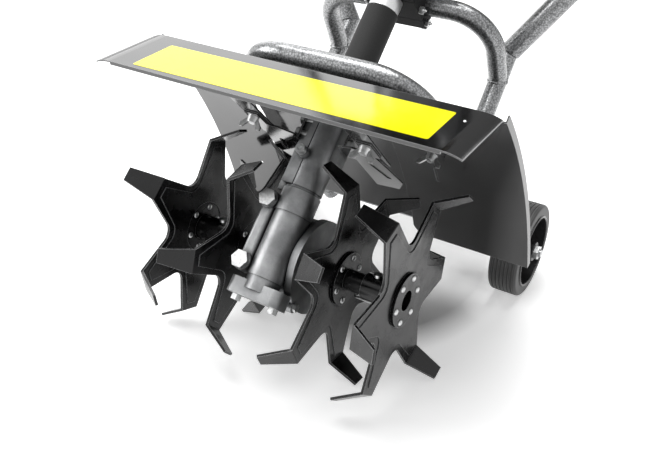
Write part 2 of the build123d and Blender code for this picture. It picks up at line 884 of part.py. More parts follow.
# Curved apron behind the tines: two outer wings and the centre panel, all hung from the deck's rear edge
hinge_z = deck_under - seat_gap
apron_chord = Vector(apron_back, -apron_drop)
apron_length = apron_chord.length
apron_down = apron_chord.normalized()
apron_out = Vector(-apron_down.Y, apron_down.X)
apron_radius = (apron_length ** 2 / 4 + apron_sag ** 2) / (2 * apron_sag)
apron_half_turn = asin(apron_length / 2 / apron_radius)
wing_half = deck_half + wing_past_deck


def apron_point(down, off):
    """Point of the apron's arc in its own plane: share of its length and offset behind the front face."""
    turn = apron_half_turn * (2 * down - 1)
    reach = apron_radius + off
    along = apron_length / 2 + reach * sin(turn)
    out = apron_sag - apron_radius + reach * cos(turn)
    point = apron_down * along + apron_out * out
    return (point.X, point.Y)


def apron_plane(x, swing):
    """Plane square to the axle with its middle on the fender's hinge line, swung about it."""
    return cross(x, deck_rear, hinge_z, swing)


def apron_normal(x, down, swing):
    """Plane on the apron's front face at a share of its length, facing back through the sheet."""
    plane = apron_plane(x, swing)
    origin = plane.from_local_coords(Vector(*apron_point(down, 0)))
    centre = plane.from_local_coords(Vector(*apron_point(down, -apron_radius)))
    return Plane(origin=origin, x_dir=(1, 0, 0), z_dir=origin - centre)


def curved_strip(plane, front, rear, top, bottom):
    """Section of the curved sheet alone between two offsets and two shares of its length."""
    middle = (top + bottom) / 2
    with BuildSketch(plane) as section:
        with BuildLine():
            ThreePointArc(apron_point(top, front), apron_point(middle, front), apron_point(bottom, front))
            Line(apron_point(bottom, front), apron_point(bottom, rear))
            ThreePointArc(apron_point(bottom, rear), apron_point(middle, rear), apron_point(top, rear))
            Line(apron_point(top, rear), apron_point(top, front))
        make_face()
    return section.sketch


def hung_sheet(plane, front, bottom, swing):
    """Section of the curved sheet with the flat lip that hangs it under the deck's rear edge."""
    rear = front + sheet
    middle = (lip_joint + bottom) / 2
    lip_end = Vector(-wing_lip, 0).rotate(Axis.Z, -swing)
    lip_low = lip_end + Vector(0, -sheet).rotate(Axis.Z, -swing)
    joint_front = apron_point(lip_joint, front)
    with BuildSketch(plane) as section:
        with BuildLine():
            Polyline(joint_front, lip_low, lip_end, (0, 0), apron_point(lip_joint, rear))
            ThreePointArc(apron_point(lip_joint, rear), apron_point(middle, rear), apron_point(bottom, rear))
            Line(apron_point(bottom, rear), apron_point(bottom, front))
            ThreePointArc(apron_point(bottom, front), apron_point(middle, front), joint_front)
        make_face()
    return section.sketch


def wing(name, x_low, x_high, outer_sign, swing, corner_round):
    """Outer wing of the apron with a hem on its outer edge and its own holes."""
    flat_low = max(x_low, -deck_half)
    flat_high = min(x_high, deck_half)
    side_low = x_low if outer_sign < 0 else flat_high
    hem_low = x_low if outer_sign < 0 else x_high - sheet
    inner_x = x_high if outer_sign < 0 else x_low
    with BuildPart() as wing_sheet:
        extrude(hung_sheet(apron_plane(flat_low, swing), 0, 1, swing), amount=flat_high - flat_low)
        past_deck = curved_strip(apron_plane(side_low, swing), 0, sheet, wing_side_top, 1)
        extrude(past_deck, amount=wing_past_deck)
        hem = curved_strip(apron_plane(hem_low, swing), sheet / 2, wing_hem, wing_side_top, 1)
        extrude(hem, amount=sheet)
        with BuildSketch(apron_normal(inner_x, 1, swing)):
            Rectangle(2 * corner_round, 2 * corner_round)
            with Locations((outer_sign * corner_round, -corner_round)):
                Circle(corner_round * corner_ease, mode=Mode.SUBTRACT)
        extrude(amount=2 * wing_hem, both=True, mode=Mode.SUBTRACT)
        if outer_sign > 0:
            with BuildSketch(apron_normal(wing_bolt_x, wing_bolt_down, swing)):
                Circle(wing_bolt_r + seat_gap)
            extrude(amount=wing_hem, both=True, mode=Mode.SUBTRACT)
            with BuildSketch(apron_normal(wing_slot_x, wing_slot_down, swing)):
                SlotOverall(wing_slot_length, wing_slot_width, rotation=90)
            extrude(amount=wing_slot_depth, both=True, mode=Mode.SUBTRACT)
        else:
            with BuildSketch(apron_normal(-left_hole_x, left_hole_down, swing)):
                Circle(left_hole_r)
            extrude(amount=wing_hem, both=True, mode=Mode.SUBTRACT)
    save(wing_sheet, name)


wing("wing_right", wing_inner_right, wing_half, 1, 0, right_corner)
wing("wing_left", -wing_half, -wing_inner_left, -1, left_wing_swing, left_corner)

panel_front = sheet + seat_gap
panel_rear = panel_front + sheet
panel_bottom = panel_drop / apron_length
panel_low = -wing_inner_left - panel_overlap
panel_high = wing_inner_right + panel_overlap
lip_low_x = -wing_inner_left + free_gap
lip_high_x = wing_inner_right - free_gap
with BuildPart() as apron_panel:
    middle_sheet = hung_sheet(apron_plane(lip_low_x, 0), panel_front, panel_bottom, 0)
    extrude(middle_sheet, amount=lip_high_x - lip_low_x)
    for side_low, side_high in ((panel_low, lip_low_x), (lip_high_x, panel_high)):
        strip = curved_strip(apron_plane(side_low, 0), panel_front, panel_rear, panel_strip_top, panel_bottom)
        extrude(strip, amount=side_high - side_low)
    hole_start = drive_point(0, 0, neck_top - panel_tube_gap * 5)
    hole_end = hole_start + drive_dir * panel_tube_gap * 12
    round_bar(hole_start, hole_end, neck_r + panel_tube_gap, Mode.SUBTRACT)
save(apron_panel, "apron_panel")

# Slotted brackets square to the neck, and the struts that carry the deck on them
bracket_x = ear_outer + seat_gap
tongue_x = bracket_slots[0][0]
tongue_middle = bracket_slots[0][1] - bracket_tongue_end + bracket_tongue_length / 2

with BuildPart() as neck_brackets:
    flange_length = pad_top - bracket_at
    for side in (-1, 1):
        slot_turn = bracket_slot_turn if side > 0 else 180 - bracket_slot_turn
        with BuildSketch(station(bracket_at - bracket_sheet, side * bracket_x)):
            with BuildLine():
                Polyline([(side * x, back) for x, back in bracket_plate], close=True)
            make_face()
            with Locations((side * tongue_x, tongue_middle)):
                Rectangle(bracket_tongue_width, bracket_tongue_length)
            for x, back, length in bracket_slots:
                with Locations((side * x, back)):
                    SlotOverall(length, bracket_slot_width, rotation=slot_turn, mode=Mode.SUBTRACT)
        extrude(amount=bracket_sheet)
        flange_middle = side * (bracket_x + bracket_sheet / 2)
        with BuildSketch(station(bracket_at, flange_middle, bracket_flange_back)):
            Rectangle(bracket_sheet, bracket_flange_depth)
        extrude(amount=flange_length)
        for along in bracket_bolt_at:
            middle = drive_point(side * bracket_x, bracket_flange_back, along)
            drill = Vector(bracket_sheet * 2, 0, 0)
            round_bar(middle - drill, middle + drill, bracket_bolt_r + seat_gap, Mode.SUBTRACT)
save(neck_brackets, "neck_brackets")

strut_x = bracket_x + bracket_slots[0][0]
strut_bolt_back = bracket_slots[0][1]
strut_start = bracket_at + seat_gap

with BuildPart() as deck_struts:
    for side in (-1, 1):
        with BuildSketch(station(strut_start, side * strut_x, strut_lower - strut_length / 2)):
            Rectangle(strut_width, strut_length)
        extrude(amount=bracket_sheet)
        start = drive_point(side * strut_x, strut_bolt_back, bracket_at - bracket_sheet)
        round_bar(start, start + drive_dir * bracket_sheet * 4, wing_nut_bolt_r + seat_gap, Mode.SUBTRACT)
    under = Plane(origin=spot(0, 0, deck_under - seat_gap), z_dir=(0, 0, 1))
    split(bisect_by=under, keep=Keep.BOTTOM)
save(deck_struts, "deck_struts")

def wing_nut(seat):
    """Threaded hub with two ears in front of a seat plane, added to the open part."""
    with BuildSketch(seat) as hub_face:
        Circle(wing_nut_r)
    extrude(hub_face.sketch, amount=-wing_nut_height, taper=wing_nut_taper)
    for hand in (-1, 1):
        with BuildSketch(Plane(origin=seat.origin, x_dir=(hand, 0, 0), z_dir=seat.y_dir)) as ear:
            with BuildLine():
                Polyline(*[(x, hand * z) for x, z in wing_nut_ear], close=True)
            make_face()
        extrude(ear.sketch, amount=wing_nut_ear_half, both=True)
    thread = seat.z_dir * wing_nut_height * 2
    round_bar(seat.origin - thread, seat.origin + thread, wing_nut_bolt_r + seat_gap, Mode.SUBTRACT)


wing_bolt_plane = apron_normal(wing_bolt_x, wing_bolt_down, 0).offset(-free_gap)
with BuildPart() as wing_nuts:
    for side in (-1, 1):
        wing_nut(station(bracket_at - bracket_sheet, side * strut_x, strut_bolt_back))
    wing_nut(wing_bolt_plane)
    for side in (-1, 1):
        start = drive_point(side * strut_x, strut_bolt_back, bracket_at - bracket_sheet - wing_nut_height)
        end = drive_point(side * strut_x, strut_bolt_back, strut_start + bracket_sheet)
        round_bar(start, end, wing_nut_bolt_r)
        round_bar(end, end + drive_dir * wing_nut_bolt_r, wing_nut_r)
save(wing_nuts, "wing_nuts")

# Front loop of the tube frame: a bent cross tube in front and a straight arm each side down to the wheel axle
loop_run = Vector(0, wheel_axle_y - loop_y, wheel_axle_z - loop_z)
arm_dir = loop_run.normalized()


def bent_tube(name, points, bend):
    """Hollow tube swept along a filleted path."""
    with BuildPart() as tube:
        with BuildLine():
            FilletPolyline(*points, radius=bend)
        with BuildSketch(Plane(origin=points[0], z_dir=points[1] - points[0])):
            Circle(tube_r)
            Circle(tube_r - tube_wall, mode=Mode.SUBTRACT)
        sweep()
    save(tube, name)


loop_left = spot(-frame_x, loop_y, loop_z)
loop_right = spot(frame_x, loop_y, loop_z)
bent_tube(
    "front_loop",
    [loop_left + arm_dir * loop_arm_start, loop_left, loop_right, loop_right + arm_dir * loop_arm_start],
    loop_bend,
)

with BuildPart() as frame_arms:
    for side in (-1, 1):
        corner = spot(side * frame_x, loop_y, loop_z)
        axle_point = corner + loop_run
        axle_side = Vector(2 * tube_r, 0, 0)
        with BuildSketch(Plane(origin=corner + arm_dir * loop_arm_start, z_dir=arm_dir)):
            Circle(tube_r)
            Circle(tube_r - tube_wall, mode=Mode.SUBTRACT)
        extrude(amount=loop_run.length - loop_arm_start + arm_past_axle)
        round_bar(axle_point - axle_side, axle_point + axle_side, wheel_axle_r + seat_gap, Mode.SUBTRACT)
    with BuildSketch(wing_bolt_plane):
        Circle(wing_bolt_r + seat_gap)
    extrude(amount=wing_bolt_shank + free_gap, mode=Mode.SUBTRACT)
save(frame_arms, "frame_arms")

# Hex bolts of the cap, the brackets and the right wing
with BuildPart() as hex_bolts:
    for side in (-1, 1):
        under = station(barrel_bottom - cap_thickness, side * cap_bolt_x)
        with BuildSketch(under):
            hexagon(cap_bolt_across_flats)
        extrude(amount=-cap_bolt_head)
        with BuildSketch(under):
            Circle(cap_bolt_r)
        extrude(amount=cap_thickness + cap_bolt_grip)
    for turn in cover_lug_turns:
        face = lug_point(turn, cover_seat + cover_thickness)
        with BuildSketch(Plane(origin=face, x_dir=drive_dir, z_dir=(1, 0, 0))):
            hexagon(cover_screw_across_flats)
        extrude(amount=cover_screw_head)
        round_bar(lug_point(turn, cover_seat - cover_screw_grip), face, cover_screw_r)
    for side in (-1, 1):
        for along in bracket_bolt_at:
            head = drive_point(side * (bracket_x + bracket_sheet), bracket_flange_back, along)
            outward = Vector(side, 0, 0)
            with BuildSketch(Plane(origin=head, x_dir=drive_dir, z_dir=outward)):
                hexagon(cap_bolt_across_flats)
            extrude(amount=bracket_bolt_head)
            round_bar(head, head - outward * bracket_bolt_grip, bracket_bolt_r)
    with BuildSketch(wing_bolt_plane.offset(-wing_nut_height - wing_bolt_past)):
        Circle(wing_bolt_r)
    extrude(amount=wing_nut_height + wing_bolt_past + wing_bolt_shank)
save(hex_bolts, "hex_bolts")

# Legs from the arms up to the handlebars
leg_dir = Vector(0, cos(radians(leg_tilt)), sin(radians(leg_tilt)))
leg_foot_z = loop_z + (leg_joint_y - loop_y) * arm_dir.Z / arm_dir.Y
leg_length = (leg_top_y - leg_joint_y) / leg_dir.Y


def handle_joint(side):
    """Point where a leg meets its handlebar."""
    return spot(side * frame_x, leg_joint_y, leg_foot_z) + leg_dir * leg_length


def mitre(side):
    """Plane that cuts leg and handlebar to one shared face."""
    across = Vector(side * rise.X, rise.Y, rise.Z) + leg_dir
    return Plane(origin=handle_joint(side), z_dir=across)


with BuildPart() as frame_legs:
    for side in (-1, 1):
        foot = spot(side * frame_x, leg_joint_y, leg_foot_z)
        with BuildSketch(Plane(origin=foot, z_dir=leg_dir)):
            Circle(tube_r)
            Circle(tube_r - tube_wall, mode=Mode.SUBTRACT)
        extrude(amount=leg_length + 2 * tube_r)
        round_bar(foot - arm_dir * 4 * tube_r, foot + arm_dir * 4 * tube_r, tube_r + seat_gap, Mode.SUBTRACT)
    for side in (-1, 1):
        split(bisect_by=mitre(side), keep=Keep.BOTTOM)
save(frame_legs, "frame_legs")

# Arch tube over the legs that carries the drive tube's clamp
with BuildPart() as arch_tube:
    arch_foot_z = leg_foot_z + arch_foot_y - leg_joint_y
    arch_points = [
        spot(-frame_x, arch_foot_y, arch_foot_z),
        drive_point(-frame_x, arch_tube_offset, arch_station),
        drive_point(frame_x, arch_tube_offset, arch_station),
        spot(frame_x, arch_foot_y, arch_foot_z),
    ]
    with BuildLine():
        FilletPolyline(*arch_points, radius=arch_bend)
    with BuildSketch(Plane(origin=arch_points[0], z_dir=arch_points[1] - arch_points[0])):
        Circle(tube_r)
        Circle(tube_r - tube_wall, mode=Mode.SUBTRACT)
    sweep()
    for side in (-1, 1):
        foot = spot(side * frame_x, arch_foot_y, arch_foot_z)
        round_bar(foot - leg_dir * 4 * tube_r, foot + leg_dir * 4 * tube_r, tube_r + seat_gap, Mode.SUBTRACT)
save(arch_tube, "arch_tube")

# Handlebars with grips
def grip_corner(side):
    """Corner of the handlebar's path below the grip."""
    slope = Vector(side * rise.X, rise.Y, rise.Z)
    return handle_joint(side) + slope * handle_first + climb * handle_second


for side, name in ((-1, "handlebar_left"), (1, "handlebar_right")):
    slope = Vector(side * rise.X, rise.Y, rise.Z)
    joint = handle_joint(side)
    route = [
        joint - slope * 2 * handle_r,
        joint + slope * handle_first,
        grip_corner(side),
        grip_corner(side) + grip_dir * handle_third,
    ]
    with BuildPart() as handlebar:
        with BuildLine():
            FilletPolyline(*route, radius=handle_bend)
        with BuildSketch(Plane(origin=route[0], z_dir=slope)):
            Circle(handle_r)
            Circle(handle_r - handle_wall, mode=Mode.SUBTRACT)
        sweep()
        split(bisect_by=mitre(side), keep=Keep.TOP)
    save(handlebar, name)

grip_start = handle_third - grip_length + grip_end_cap
with BuildPart() as grips:
    for side in (-1, 1):
        start = grip_corner(side) + grip_dir * grip_start
        end = start + grip_dir * grip_length
        round_bar(start, end, grip_r)
        bore_end = grip_corner(side) + grip_dir * (handle_third + seat_gap)
        round_bar(start - grip_dir, bore_end, handle_r + seat_gap, Mode.SUBTRACT)
save(grips, "grips")

# Throttle housing on the right handlebar with its trigger and stop slide
control_origin = grip_corner(1) + grip_dir * control_start
control_plane = Plane(origin=control_origin, x_dir=grip_dir, z_dir=(1, 0, 0))
control_up = control_plane.y_dir
control_middle = (control_above - control_below) / 2
trigger_slot_half = trigger_width / 2 + free_gap

with BuildPart() as throttle_housing:
    with BuildSketch(control_plane):
        with Locations((control_length / 2, control_middle)):
            RectangleRounded(control_length, control_above + control_below, control_round)
    extrude(amount=control_half_width, both=True)
    round_bar(
        control_origin - grip_dir * control_length,
        control_origin + grip_dir * control_length * 2,
        handle_r + seat_gap,
        Mode.SUBTRACT,
    )
    slot_start = trigger_pivot_back - trigger_thickness
    with BuildSketch(control_plane):
        with Locations((slot_start + control_length / 2, -trigger_slot_top - control_below / 2)):
            Rectangle(control_length, control_below)
    extrude(amount=trigger_slot_half, both=True, mode=Mode.SUBTRACT)
    pivot = control_plane.from_local_coords(Vector(trigger_pivot_back, -trigger_pivot_down))
    pivot_side = Vector(control_half_width * 2, 0, 0)
    round_bar(pivot - pivot_side, pivot + pivot_side, trigger_pivot_r + running_gap, Mode.SUBTRACT)
    recess = control_plane.from_local_coords(Vector(control_length / 2, control_above - switch_depth))
    with BuildSketch(Plane(origin=recess, x_dir=grip_dir, z_dir=control_up)):
        Rectangle(switch_length + switch_travel + 2 * free_gap, switch_width + 2 * free_gap)
    extrude(amount=switch_depth * 2, mode=Mode.SUBTRACT)
save(throttle_housing, "throttle_housing")

with BuildPart() as throttle_trigger:
    lever_dir = -trigger_slope
    with BuildSketch(Plane(origin=pivot, x_dir=grip_dir, z_dir=(1, 0, 0))):
        with Locations(Location((0, 0, 0), (0, 0, lever_dir))):
            with Locations((trigger_reach / 2, 0)):
                SlotCenterToCenter(trigger_reach, trigger_thickness)
    extrude(amount=trigger_width / 2, both=True)
    pin_side = Vector(control_half_width, 0, 0)
    round_bar(pivot - pin_side, pivot + pin_side, trigger_pivot_r)
save(throttle_trigger, "throttle_trigger")

with BuildPart() as stop_switch:
    knob = recess + control_up * free_gap - grip_dir * switch_travel / 2
    with BuildSketch(Plane(origin=knob, x_dir=grip_dir, z_dir=control_up)):
        RectangleRounded(switch_length, switch_width, switch_round)
    extrude(amount=switch_depth + switch_height)
save(stop_switch, "stop_switch")

# Wheels on a fixed axle rod
axle_reach = wheel_outer_x + wheel_hub_out + free_gap + axle_nut_height + axle_end
with BuildPart() as wheel_axle:
    axle_left = spot(-axle_reach, wheel_axle_y, wheel_axle_z)
    axle_right = spot(axle_reach, wheel_axle_y, wheel_axle_z)
    round_bar(axle_left, axle_right, wheel_axle_r)
save(wheel_axle, "wheel_axle")

with BuildPart() as axle_fittings:
    for side in (-1, 1):
        seat = spot(side * (wheel_outer_x + wheel_hub_out + free_gap), wheel_axle_y, wheel_axle_z)
        with BuildSketch(Plane(origin=seat, x_dir=(0, 0, 1), z_dir=(side, 0, 0))):
            hexagon(axle_nut_across_flats)
            Circle(wheel_axle_r + seat_gap, mode=Mode.SUBTRACT)
        extrude(amount=axle_nut_height)
    for side in (-1, 1):
        start = frame_x + tube_r + free_gap
        length = wheel_hub_inner - free_gap - start
        low = start if side > 0 else -start - length
        ring(cross(low, wheel_axle_y, wheel_axle_z), spacer_r, wheel_axle_r + seat_gap, length)
save(axle_fittings, "axle_fittings")

rim_r = wheel_r - tyre_depth


def wheel_plane(side):
    """Plane through a wheel's middle: first axis outward along the axle, second axis radial."""
    middle = spot(side * (wheel_outer_x - tyre_width / 2), wheel_axle_y, wheel_axle_z)
    return Plane(origin=middle, x_dir=(side, 0, 0), z_dir=(0, 0, side))


for side, name in ((-1, "wheel_left"), (1, "wheel_right")):
    plane = wheel_plane(side)
    hub_low = wheel_hub_inner - wheel_outer_x + tyre_width / 2
    hub_high = tyre_width / 2 + wheel_hub_out
    with BuildPart() as rim:
        with BuildSketch(plane):
            with Locations((0, rim_r - rim_wall / 2)):
                Rectangle(tyre_width, rim_wall)
            with Locations((0, (rim_r + wheel_axle_r) / 2)):
                Rectangle(rim_wall, rim_r - wheel_axle_r - 2 * running_gap)
            with Locations(((hub_low + hub_high) / 2, (rim_hub_r + wheel_axle_r + running_gap) / 2)):
                Rectangle(hub_high - hub_low, rim_hub_r - wheel_axle_r - running_gap)
        revolve(axis=Axis(plane.origin, (1, 0, 0)))
    save(rim, name)

for side, name in ((-1, "tyre_left"), (1, "tyre_right")):
    plane = wheel_plane(side)
    with BuildPart() as tyre:
        with BuildSketch(plane) as section:
            with Locations((0, wheel_r - (tyre_depth - seat_gap) / 2)):
                Rectangle(tyre_width, tyre_depth - seat_gap)
            fillet(section.vertices().group_by(Axis.Y)[-1], radius=tyre_round)
            for index in range(tread_grooves):
                shift = (index - (tread_grooves - 1) / 2) * tread_spacing
                with Locations((shift, wheel_r)):
                    Rectangle(tread_groove, 2 * tread_groove, mode=Mode.SUBTRACT)
        revolve(axis=Axis(plane.origin, (1, 0, 0)))
    save(tyre, name)

# Clutch housing and engine on the top end of the drive tube
with BuildPart() as clutch_housing:
    with BuildSketch(Plane(origin=drive_point(0, 0, 0), x_dir=drive_back, z_dir=(1, 0, 0))):
        with BuildLine():
            Polyline(
                (drive_tube_r + seat_gap, clutch_neck_start),
                (clutch_neck_r, clutch_neck_start),
                (clutch_neck_r, clutch_cone_start),
                (clutch_r, clutch_cone_end),
                (clutch_r, engine_front - seat_gap),
                (clutch_r - clutch_wall, engine_front - seat_gap),
                (clutch_r - clutch_wall, clutch_cone_end - clutch_wall),
                (drive_tube_r - drive_tube_wall, drive_tube_top + seat_gap),
                (drive_tube_r + seat_gap, drive_tube_top + seat_gap),
                close=True,
            )
        make_face()
    revolve(axis=Axis(drive_point(0, 0, 0), drive_dir))
save(clutch_housing, "clutch_housing")

crankcase_end = engine_front + crankcase_length
with BuildPart() as crankcase:
    with BuildSketch(station(engine_front)):
        RectangleRounded(2 * crankcase_half_x, 2 * crankcase_half_y, crankcase_round)
    extrude(amount=crankcase_length)
save(crankcase, "crankcase")

cylinder_top = crankcase_half_y + cylinder_height
with BuildPart() as cylinder:
    with BuildSketch(flank(0, -crankcase_half_y - seat_gap, cylinder_at)):
        Circle(cylinder_r)
    extrude(amount=cylinder_height)
    fin_step = cylinder_height / fin_count
    for index in range(fin_count):
        with BuildSketch(flank(0, -crankcase_half_y - (index + 0.5) * fin_step, cylinder_at)):
            RectangleRounded(fin_x, fin_t, fin_round)
        extrude(amount=fin_thickness)
    port_reach = fin_x / 2 + free_gap
    port_middle = drive_point(0, -port_back, cylinder_at)
    round_bar(port_middle - Vector(port_reach, 0, 0), port_middle + Vector(port_reach, 0, 0), port_r)
save(cylinder, "cylinder")

with BuildPart() as engine_shroud:
    depth = shroud_top - shroud_bottom
    with BuildSketch(flank(0, -shroud_bottom, cylinder_at)):
        RectangleRounded(2 * shroud_half_x, shroud_length, shroud_round)
    extrude(amount=depth)
    with BuildSketch(flank(0, -shroud_bottom, cylinder_at)):
        inside = (2 * (shroud_half_x - shroud_wall), shroud_length - 2 * shroud_wall)
        RectangleRounded(*inside, shroud_round - shroud_wall)
    extrude(amount=depth - shroud_wall, mode=Mode.SUBTRACT)
    for shift in (-1, 1):
        post = drive_point(shift * cylinder_r / 2, -cylinder_top - 2 * seat_gap, cylinder_at)
        round_bar(post, post - drive_back * (shroud_top - cylinder_top - shroud_wall), post_r)
    with BuildSketch(flank(0, -shroud_top, cylinder_at)):
        with GridLocations(2 * louvre_width, 0, louvre_count, 1):
            SlotOverall(louvre_length, louvre_width, rotation=90)
    extrude(amount=-shroud_wall, mode=Mode.SUBTRACT)
    round_bar(
        port_middle - Vector(2 * shroud_half_x, 0, 0),
        port_middle + Vector(2 * shroud_half_x, 0, 0),
        port_r + free_gap,
        Mode.SUBTRACT,
    )
save(engine_shroud, "engine_shroud")

with BuildPart() as muffler:
    can_start = shroud_half_x + side_unit_gap
    round_bar(
        port_middle + Vector(port_reach + seat_gap, 0, 0),
        port_middle + Vector(can_start, 0, 0),
        port_r,
    )
    with BuildSketch(Plane(origin=port_middle + Vector(can_start, 0, 0), x_dir=drive_dir, z_dir=(1, 0, 0))):
        RectangleRounded(muffler_length, muffler_height, side_unit_round)
    extrude(amount=muffler_depth)
save(muffler, "muffler")

with BuildPart() as air_filter:
    round_bar(
        port_middle - Vector(port_reach + seat_gap, 0, 0),
        port_middle - Vector(can_start, 0, 0),
        port_r,
    )
    with BuildSketch(Plane(origin=port_middle - Vector(can_start, 0, 0), x_dir=drive_dir, z_dir=(-1, 0, 0))):
        RectangleRounded(carburettor_size, carburettor_size, fin_round)
    extrude(amount=carburettor_depth)
    start = can_start + carburettor_depth
    with BuildSketch(Plane(origin=port_middle - Vector(start, 0, 0), x_dir=drive_dir, z_dir=(-1, 0, 0))):
        RectangleRounded(filter_length, filter_height, side_unit_round)
    extrude(amount=filter_depth)
    fillet(air_filter.edges().group_by(Axis.X)[0], radius=filter_edge)
save(air_filter, "air_filter")

starter_start = crankcase_end + seat_gap
with BuildPart() as starter_housing:
    with BuildSketch(station(starter_start)):
        Circle(starter_r)
    extrude(amount=starter_depth)
    fillet(starter_housing.edges().sort_by(Axis(drive_foot, drive_dir))[-1], radius=starter_round)
    with BuildSketch(station(starter_start + starter_depth)):
        with PolarLocations(starter_r / 2, starter_vents):
            SlotOverall(starter_r / 2, starter_vent_width)
    extrude(amount=-starter_vent_depth, mode=Mode.SUBTRACT)
    rope_boss = drive_point(-pull_x, -pull_front, starter_start + starter_depth / 2)
    rope_exit = rope_boss + Vector(0, 0, pull_boss_height)
    round_bar(rope_boss, rope_exit, pull_boss_r)
save(starter_housing, "starter_housing")

# Starter grip that rests on the rope guide
with BuildPart() as starter_grip:
    stem_end = rope_exit + Vector(0, 0, free_gap)
    bar_middle = stem_end + Vector(0, 0, pull_stem)
    half_bar = Vector(pull_width / 2, 0, 0)
    round_bar(stem_end, bar_middle, pull_stem_r)
    round_bar(bar_middle - half_bar, bar_middle + half_bar, pull_r)
save(starter_grip, "starter_grip")

# Fuel tank under the crankcase with a screw cap on its rear end
with BuildPart() as fuel_tank:
    with BuildSketch(station(engine_front, 0, crankcase_half_y + seat_gap + tank_height / 2)):
        RectangleRounded(2 * tank_half_x, tank_height, tank_round)
    extrude(amount=tank_length)
    with BuildSketch(station(engine_front + tank_length, cap_x, crankcase_half_y + tank_height / 2)):
        Circle(cap_neck_r)
    extrude(amount=cap_neck)
save(fuel_tank, "fuel_tank")

with BuildPart() as fuel_cap:
    cap_start = engine_front + tank_length + cap_neck + free_gap
    with BuildSketch(station(cap_start, cap_x, crankcase_half_y + tank_height / 2)):
        Circle(cap_r)
        with PolarLocations(cap_r, cap_notches):
            Circle(cap_notch_r, mode=Mode.SUBTRACT)
    extrude(amount=cap_height)
save(fuel_cap, "fuel_cap")
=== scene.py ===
import json
from math import cos, pi, radians, sin

import bmesh
import bpy
from mathutils import Matrix, Vector


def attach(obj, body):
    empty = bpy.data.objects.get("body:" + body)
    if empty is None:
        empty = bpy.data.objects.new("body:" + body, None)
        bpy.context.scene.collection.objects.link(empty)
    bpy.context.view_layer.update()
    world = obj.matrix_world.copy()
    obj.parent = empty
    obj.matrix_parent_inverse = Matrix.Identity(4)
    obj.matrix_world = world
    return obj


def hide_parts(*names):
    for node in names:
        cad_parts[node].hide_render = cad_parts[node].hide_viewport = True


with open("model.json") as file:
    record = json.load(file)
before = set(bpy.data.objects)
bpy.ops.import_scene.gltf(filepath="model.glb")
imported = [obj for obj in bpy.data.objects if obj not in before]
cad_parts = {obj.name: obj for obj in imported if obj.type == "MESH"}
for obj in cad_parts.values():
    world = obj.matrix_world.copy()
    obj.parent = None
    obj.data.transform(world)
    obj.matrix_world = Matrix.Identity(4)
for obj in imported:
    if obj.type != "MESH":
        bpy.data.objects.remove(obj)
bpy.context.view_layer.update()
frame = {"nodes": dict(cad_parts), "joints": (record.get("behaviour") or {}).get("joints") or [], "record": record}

# Camera: a three-quarter view from the front right, looking down on the fender
# Its place, tilt and lens follow the lines of the deck, the axle and the tine stars
camera_place = (0.4038, -0.89149, 0.62223)
camera_azimuth, camera_elevation = 31.98, 32.74
focal_pixels, frame_pixels, sensor_width = 816.58, 650, 36
camera_data = bpy.data.cameras.new("camera")
camera_data.sensor_width = sensor_width
camera_data.lens = sensor_width * focal_pixels / frame_pixels
camera = bpy.data.objects.new("camera", camera_data)
camera.location = camera_place
camera.rotation_euler = (radians(90 - camera_elevation), 0, radians(camera_azimuth))
bpy.context.scene.collection.objects.link(camera)
bpy.context.scene.camera = camera
bpy.context.scene.view_settings.view_transform = "Standard"

# Studio: a seamless white floor under a wide soft box, a smaller one on the left and white all round
# A third box behind on the left is mirrored in the left half of the fender, up to a grey flag beside it, a painted
# reflection: a card seen only in reflections, which keeps the right half dark
# The floor's own glow lifts the shadow in front of the machine, and is masked out below the fender, a painted
# shadow that stays deep there
floor_half = 20.0
card_colour = "#fafafa"
ambient_light = 0.14
lamps = (
    ("top_softbox", (-0.35, 0.1, 2.4), (-0.1, -0.1, 0), 1.9, 1.9, 70),
    ("back_softbox", (-1.3, 1.02, 1.2), (0, -0.3, 0.3), 1.3, 1.4, 7.5),
    ("left_softbox", (-2.0, -1.3, 1.1), (0, -0.3, 0.15), 1.3, 1.3, 32),
)
flag_left, flag_right, flag_low, flag_high, flag_y, flag_reflected_glow = -0.57, 0.9, 0.5, 1.8, 0.95, 0.18
painted_shadow_middle, painted_shadow_half, painted_shadow_start, painted_shadow_end = (0.03, -0.1), (0.11, 0.15), 0.9, 1.25
near_glow, far_glow, far_start, far_end = 0.48, 0.52, 1.3, 3.0


def linear(colour):
    """Linear red, green, blue and alpha from an sRGB hex value."""
    channels = [int(colour[place:place + 2], 16) / 255 for place in (1, 3, 5)]
    return [c / 12.92 if c <= 0.04045 else ((c + 0.055) / 1.055) ** 2.4 for c in channels] + [1]


def add(tree, kind, sockets=None, stops=(), **settings):
    """Adds one node with its settings, its socket values or links, and its colour stops."""
    item = tree.nodes.new(kind)
    for name, value in settings.items():
        setattr(item, name, value)
    for name, value in (sockets or {}).items():
        if isinstance(value, bpy.types.Node):
            value = next(output for output in value.outputs if output.enabled)
        if isinstance(value, bpy.types.NodeSocket):
            tree.links.new(value, item.inputs[name])
        else:
            item.inputs[name].default_value = value
    for place, (position, colour) in enumerate(stops):
        ramp = item.color_ramp.elements
        stop = ramp[place] if place < len(ramp) else ramp.new(position)
        stop.position, stop.color = position, linear(colour)
    return item


def finish(name, **sockets):
    """A new material: returns it with its tree, its shader and the Object coordinates."""
    material = bpy.data.materials.new(name)
    material.use_nodes = True
    tree = material.node_tree
    shader = tree.nodes["Principled BSDF"]
    for socket, value in sockets.items():
        shader.inputs[socket.replace("_", " ")].default_value = value
    return material, tree, shader, add(tree, "ShaderNodeTexCoord").outputs["Object"]


def paint(tree, shader, **nodes):
    """Links nodes to the shader's sockets."""
    for socket, node in nodes.items():
        tree.links.new(node.outputs[0], shader.inputs[socket.replace("_", " ")])


